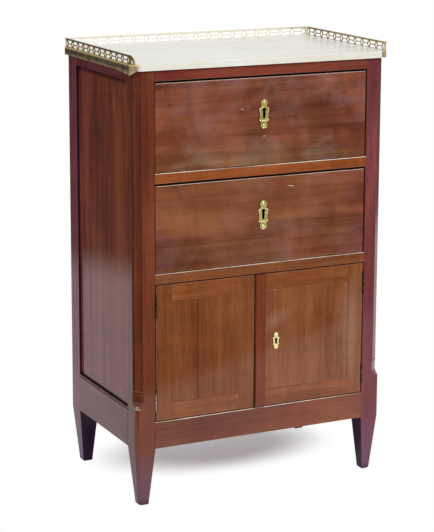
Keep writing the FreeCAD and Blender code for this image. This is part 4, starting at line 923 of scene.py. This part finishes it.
easeSettings = {
    "front_left_post": {"worn": "postWorn", "width": 0.0012, "edges": uprightEdges,
                        "dress": [(leftCant, woods["leftCant"]), (innerLeg, woods["legShade"]),
                                  (nickSill, worns["paleWorn"])]},
    "front_right_post": {"worn": "postWorn", "width": 0.0012, "edges": uprightEdges,
                         "dress": [(innerLeg, woods["legShade"])]},
    "rear_left_post": {"worn": "postWorn", "width": 0.0010, "edges": uprightEdges,
                       "dress": [(innerLeg, woods["legShade"]), (recessWall, woods["recess"])]},
    "rear_right_post": {"worn": "postWorn", "width": 0.0010, "edges": uprightEdges,
                        "dress": [(innerLeg, woods["legShade"]), (recessWall, woods["recess"])]},
    "front_top_rail": {"worn": "softWorn", "width": 0.0009, "edges": railEdges},
    "drawer_rail": {"worn": "softWorn", "width": 0.0012, "edges": railEdges,
                    "dress": [(topArris, worns["paleWorn"])]},
    "cupboard_rail": {"worn": "softWorn", "width": 0.0012, "edges": railEdges,
                      "dress": [(topArris, worns["paleWorn"])]},
    "apron": {"worn": "softWorn", "width": 0.0012, "edges": railEdges,
              "dress": [(topArris, worns["paleWorn"])]},
    "upper_drawer_front": {"worn": "upperDrawer", "width": 0.0020, "edges": drawerEdges,
                           "dress": [(topArris, worns["brightWorn"]), (keyWall, woods["keyCut"])]},
    "lower_drawer_front": {"worn": "lowerDrawer", "width": 0.0020, "edges": drawerEdges,
                           "dress": [(topArris, worns["brightWorn"]), (keyWall, woods["keyCut"])]},
    "left_door_stiles": {"worn": "softWorn", "width": 0.0011, "edges": doorEdges},
    "right_door_stiles": {"worn": "softWorn", "width": 0.0011, "edges": doorEdges,
                          "dress": [(keyWall, woods["keyCut"])]},
    "left_door_rails": {"worn": "softWorn", "width": 0.0011, "edges": doorEdges},
    "right_door_rails": {"worn": "softWorn", "width": 0.0011, "edges": doorEdges},
    "left_door_panel": {"worn": "darkSeam", "width": 0.0006, "edges": boardEdges},
    "right_door_panel": {"worn": "jointWorn", "width": 0.0006, "edges": drawerEdges,
                         "dress": [(keyWall, woods["keyCut"])]},
    "left_skirt": {"worn": "postWorn", "width": 0.0010, "edges": skirtEdges,
                   "dress": [(ledge, woods["recess"])]},
    "right_skirt": {"worn": "postWorn", "width": 0.0010, "edges": skirtEdges,
                    "dress": [(ledge, woods["recess"])]},
}


def plainName(nodeName, ending):
    first, *rest = nodeName.split("_")
    return first + "".join(word.capitalize() for word in rest) + ending


def eased(nodeName, s):
    piece = workedCopy(nodeName, plainName(nodeName, "Eased"))
    piece.data.materials.clear()
    piece.data.materials.append(finishes[nodeName])
    piece.data.materials.append({**woods, **worns}[s["worn"]])
    pickEdges(piece, s["edges"])
    bpy.ops.mesh.bevel(
        offset=s["width"], segments=workSettings["bevelSteps"], profile=workSettings["bevelShape"],
        affect="EDGES", clamp_overlap=False, material=workSettings["bevelFinish"])
    bpy.ops.object.mode_set(mode="OBJECT")
    for test, finish in s.get("dress", []):
        piece.data.materials.append(finish)
        for face in piece.data.polygons:
            if test(face.center, face.normal):
                face.material_index = len(piece.data.materials) - 1
    bpy.ops.object.shade_smooth_by_angle(angle=math.radians(workSettings["smooth"]))
    flatten = piece.modifiers.new("flatten", "WEIGHTED_NORMAL")   # broad faces stay flat in the polish
    flatten.keep_sharp = True
    flatten.weight = workSettings["faceWeight"]
    bpy.ops.object.modifier_apply(modifier=flatten.name)
    settle(piece, nodeName)


for nodeName, s in easeSettings.items():
    eased(nodeName, s)
print("arrises are eased")


# Cast key plates: raised rim, sunk ground, bosses in the lobes, knobs at the shoulders, a sill under the key

plateSettings = {
    "upper_escutcheon": {"rim": 0.0014, "sunk": 0.0011, "grow": 0.95, "brass": "cast"},
    "lower_escutcheon": {"rim": 0.0014, "sunk": 0.0011, "grow": 0.95, "brass": "castBright"},
    "door_escutcheon": {"rim": 0.0, "sunk": 0.0, "grow": 0.62, "brass": "castPale"},   # no room for a rim
}
plateBeads = [   # place across and up, in shares of the half plate, then half sizes in millimetres
    ((0, 0.77), (2.9, 1.3, 2.9)), ((0, -0.77), (3.2, 1.3, 2.5)),
    ((0.80, 0.36), (1.7, 1.4, 1.7)), ((-0.80, 0.36), (1.7, 1.4, 1.7)),
    ((0.74, 0.14), (1.2, 1.0, 1.2)), ((-0.74, 0.14), (1.2, 1.0, 1.2)),
    ((0.78, -0.43), (1.6, 1.2, 1.4)), ((-0.78, -0.43), (1.6, 1.2, 1.4)),
    ((0, -0.46), (5.6, 1.4, 1.5)), ((0, 0.92), (2.4, 1.0, 1.2)), ((0, -0.93), (2.4, 1.0, 1.1)),
]
castSettings = {   # metres, and the steps round a bead
    "wall": 0.0002, "sink": 0.0002, "beadRadius": 0.001, "around": 18, "rings": 10,
}
plateFinish = {"ground": 1, "rim": 2, "keyhole": 3}   # places in a plate's list of finishes


def sinkGround(plate, s):
    # the ground inside the rim goes down and takes the second finish
    bpy.ops.object.mode_set(mode="EDIT")
    bpy.ops.mesh.select_mode(type="FACE")
    bpy.ops.mesh.select_all(action="DESELECT")
    skin = bmesh.from_edit_mesh(plate.data)
    for face in skin.faces:
        face.select_set(face.normal.y < -faceSettings["square"])
    bmesh.update_edit_mesh(plate.data)
    bpy.ops.mesh.inset(thickness=s["rim"], depth=0)
    bpy.ops.mesh.inset(thickness=castSettings["wall"], depth=-s["sunk"])
    plate.active_material_index = plateFinish["ground"]
    bpy.ops.object.material_slot_assign()
    bpy.ops.object.mode_set(mode="OBJECT")


def castPlate(nodeName, s):
    low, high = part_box(nodeName)
    middle, half = (low + high) / 2, (high - low) / 2
    plate = workedCopy(nodeName, plainName(nodeName, "Cast"))
    plate.data.materials.clear()
    for finish in (brasses[s["brass"]], brasses["sunk"], brasses["hinge"], woods["keyCut"]):
        plate.data.materials.append(finish)
    for face in plate.data.polygons:   # dark brass on the plate's edges, and near black painted shade in the keyhole
        if keyWall(face.center, face.normal):
            face.material_index = plateFinish["keyhole"]
        elif abs(face.normal.y) < faceSettings["edgeOn"]:
            face.material_index = plateFinish["rim"]
    if s["rim"]:
        sinkGround(plate, s)
    parts = [plate]
    for (across, up), (wide, deep, tall) in plateBeads:
        bpy.ops.object.select_all(action="DESELECT")
        bpy.ops.mesh.primitive_uv_sphere_add(
            segments=castSettings["around"], ring_count=castSettings["rings"],
            radius=castSettings["beadRadius"],
            location=(middle.x + across * half.x, low.y + castSettings["sink"], middle.z + up * half.z))
        bead = bpy.context.object
        bead.scale = (wide * s["grow"], deep * s["grow"], tall * s["grow"])
        bpy.ops.object.transform_apply(location=True, rotation=True, scale=True)
        bead.data.materials.append(brasses[s["brass"]])
        parts.append(bead)
    bpy.ops.object.select_all(action="DESELECT")
    for part in parts:
        part.select_set(True)
    bpy.context.view_layer.objects.active = plate
    bpy.ops.object.join()
    bpy.ops.object.shade_smooth_by_angle(angle=math.radians(workSettings["castSmooth"]))
    settle(plate, nodeName)


for nodeName, s in plateSettings.items():
    castPlate(nodeName, s)
print("key plates are cast")
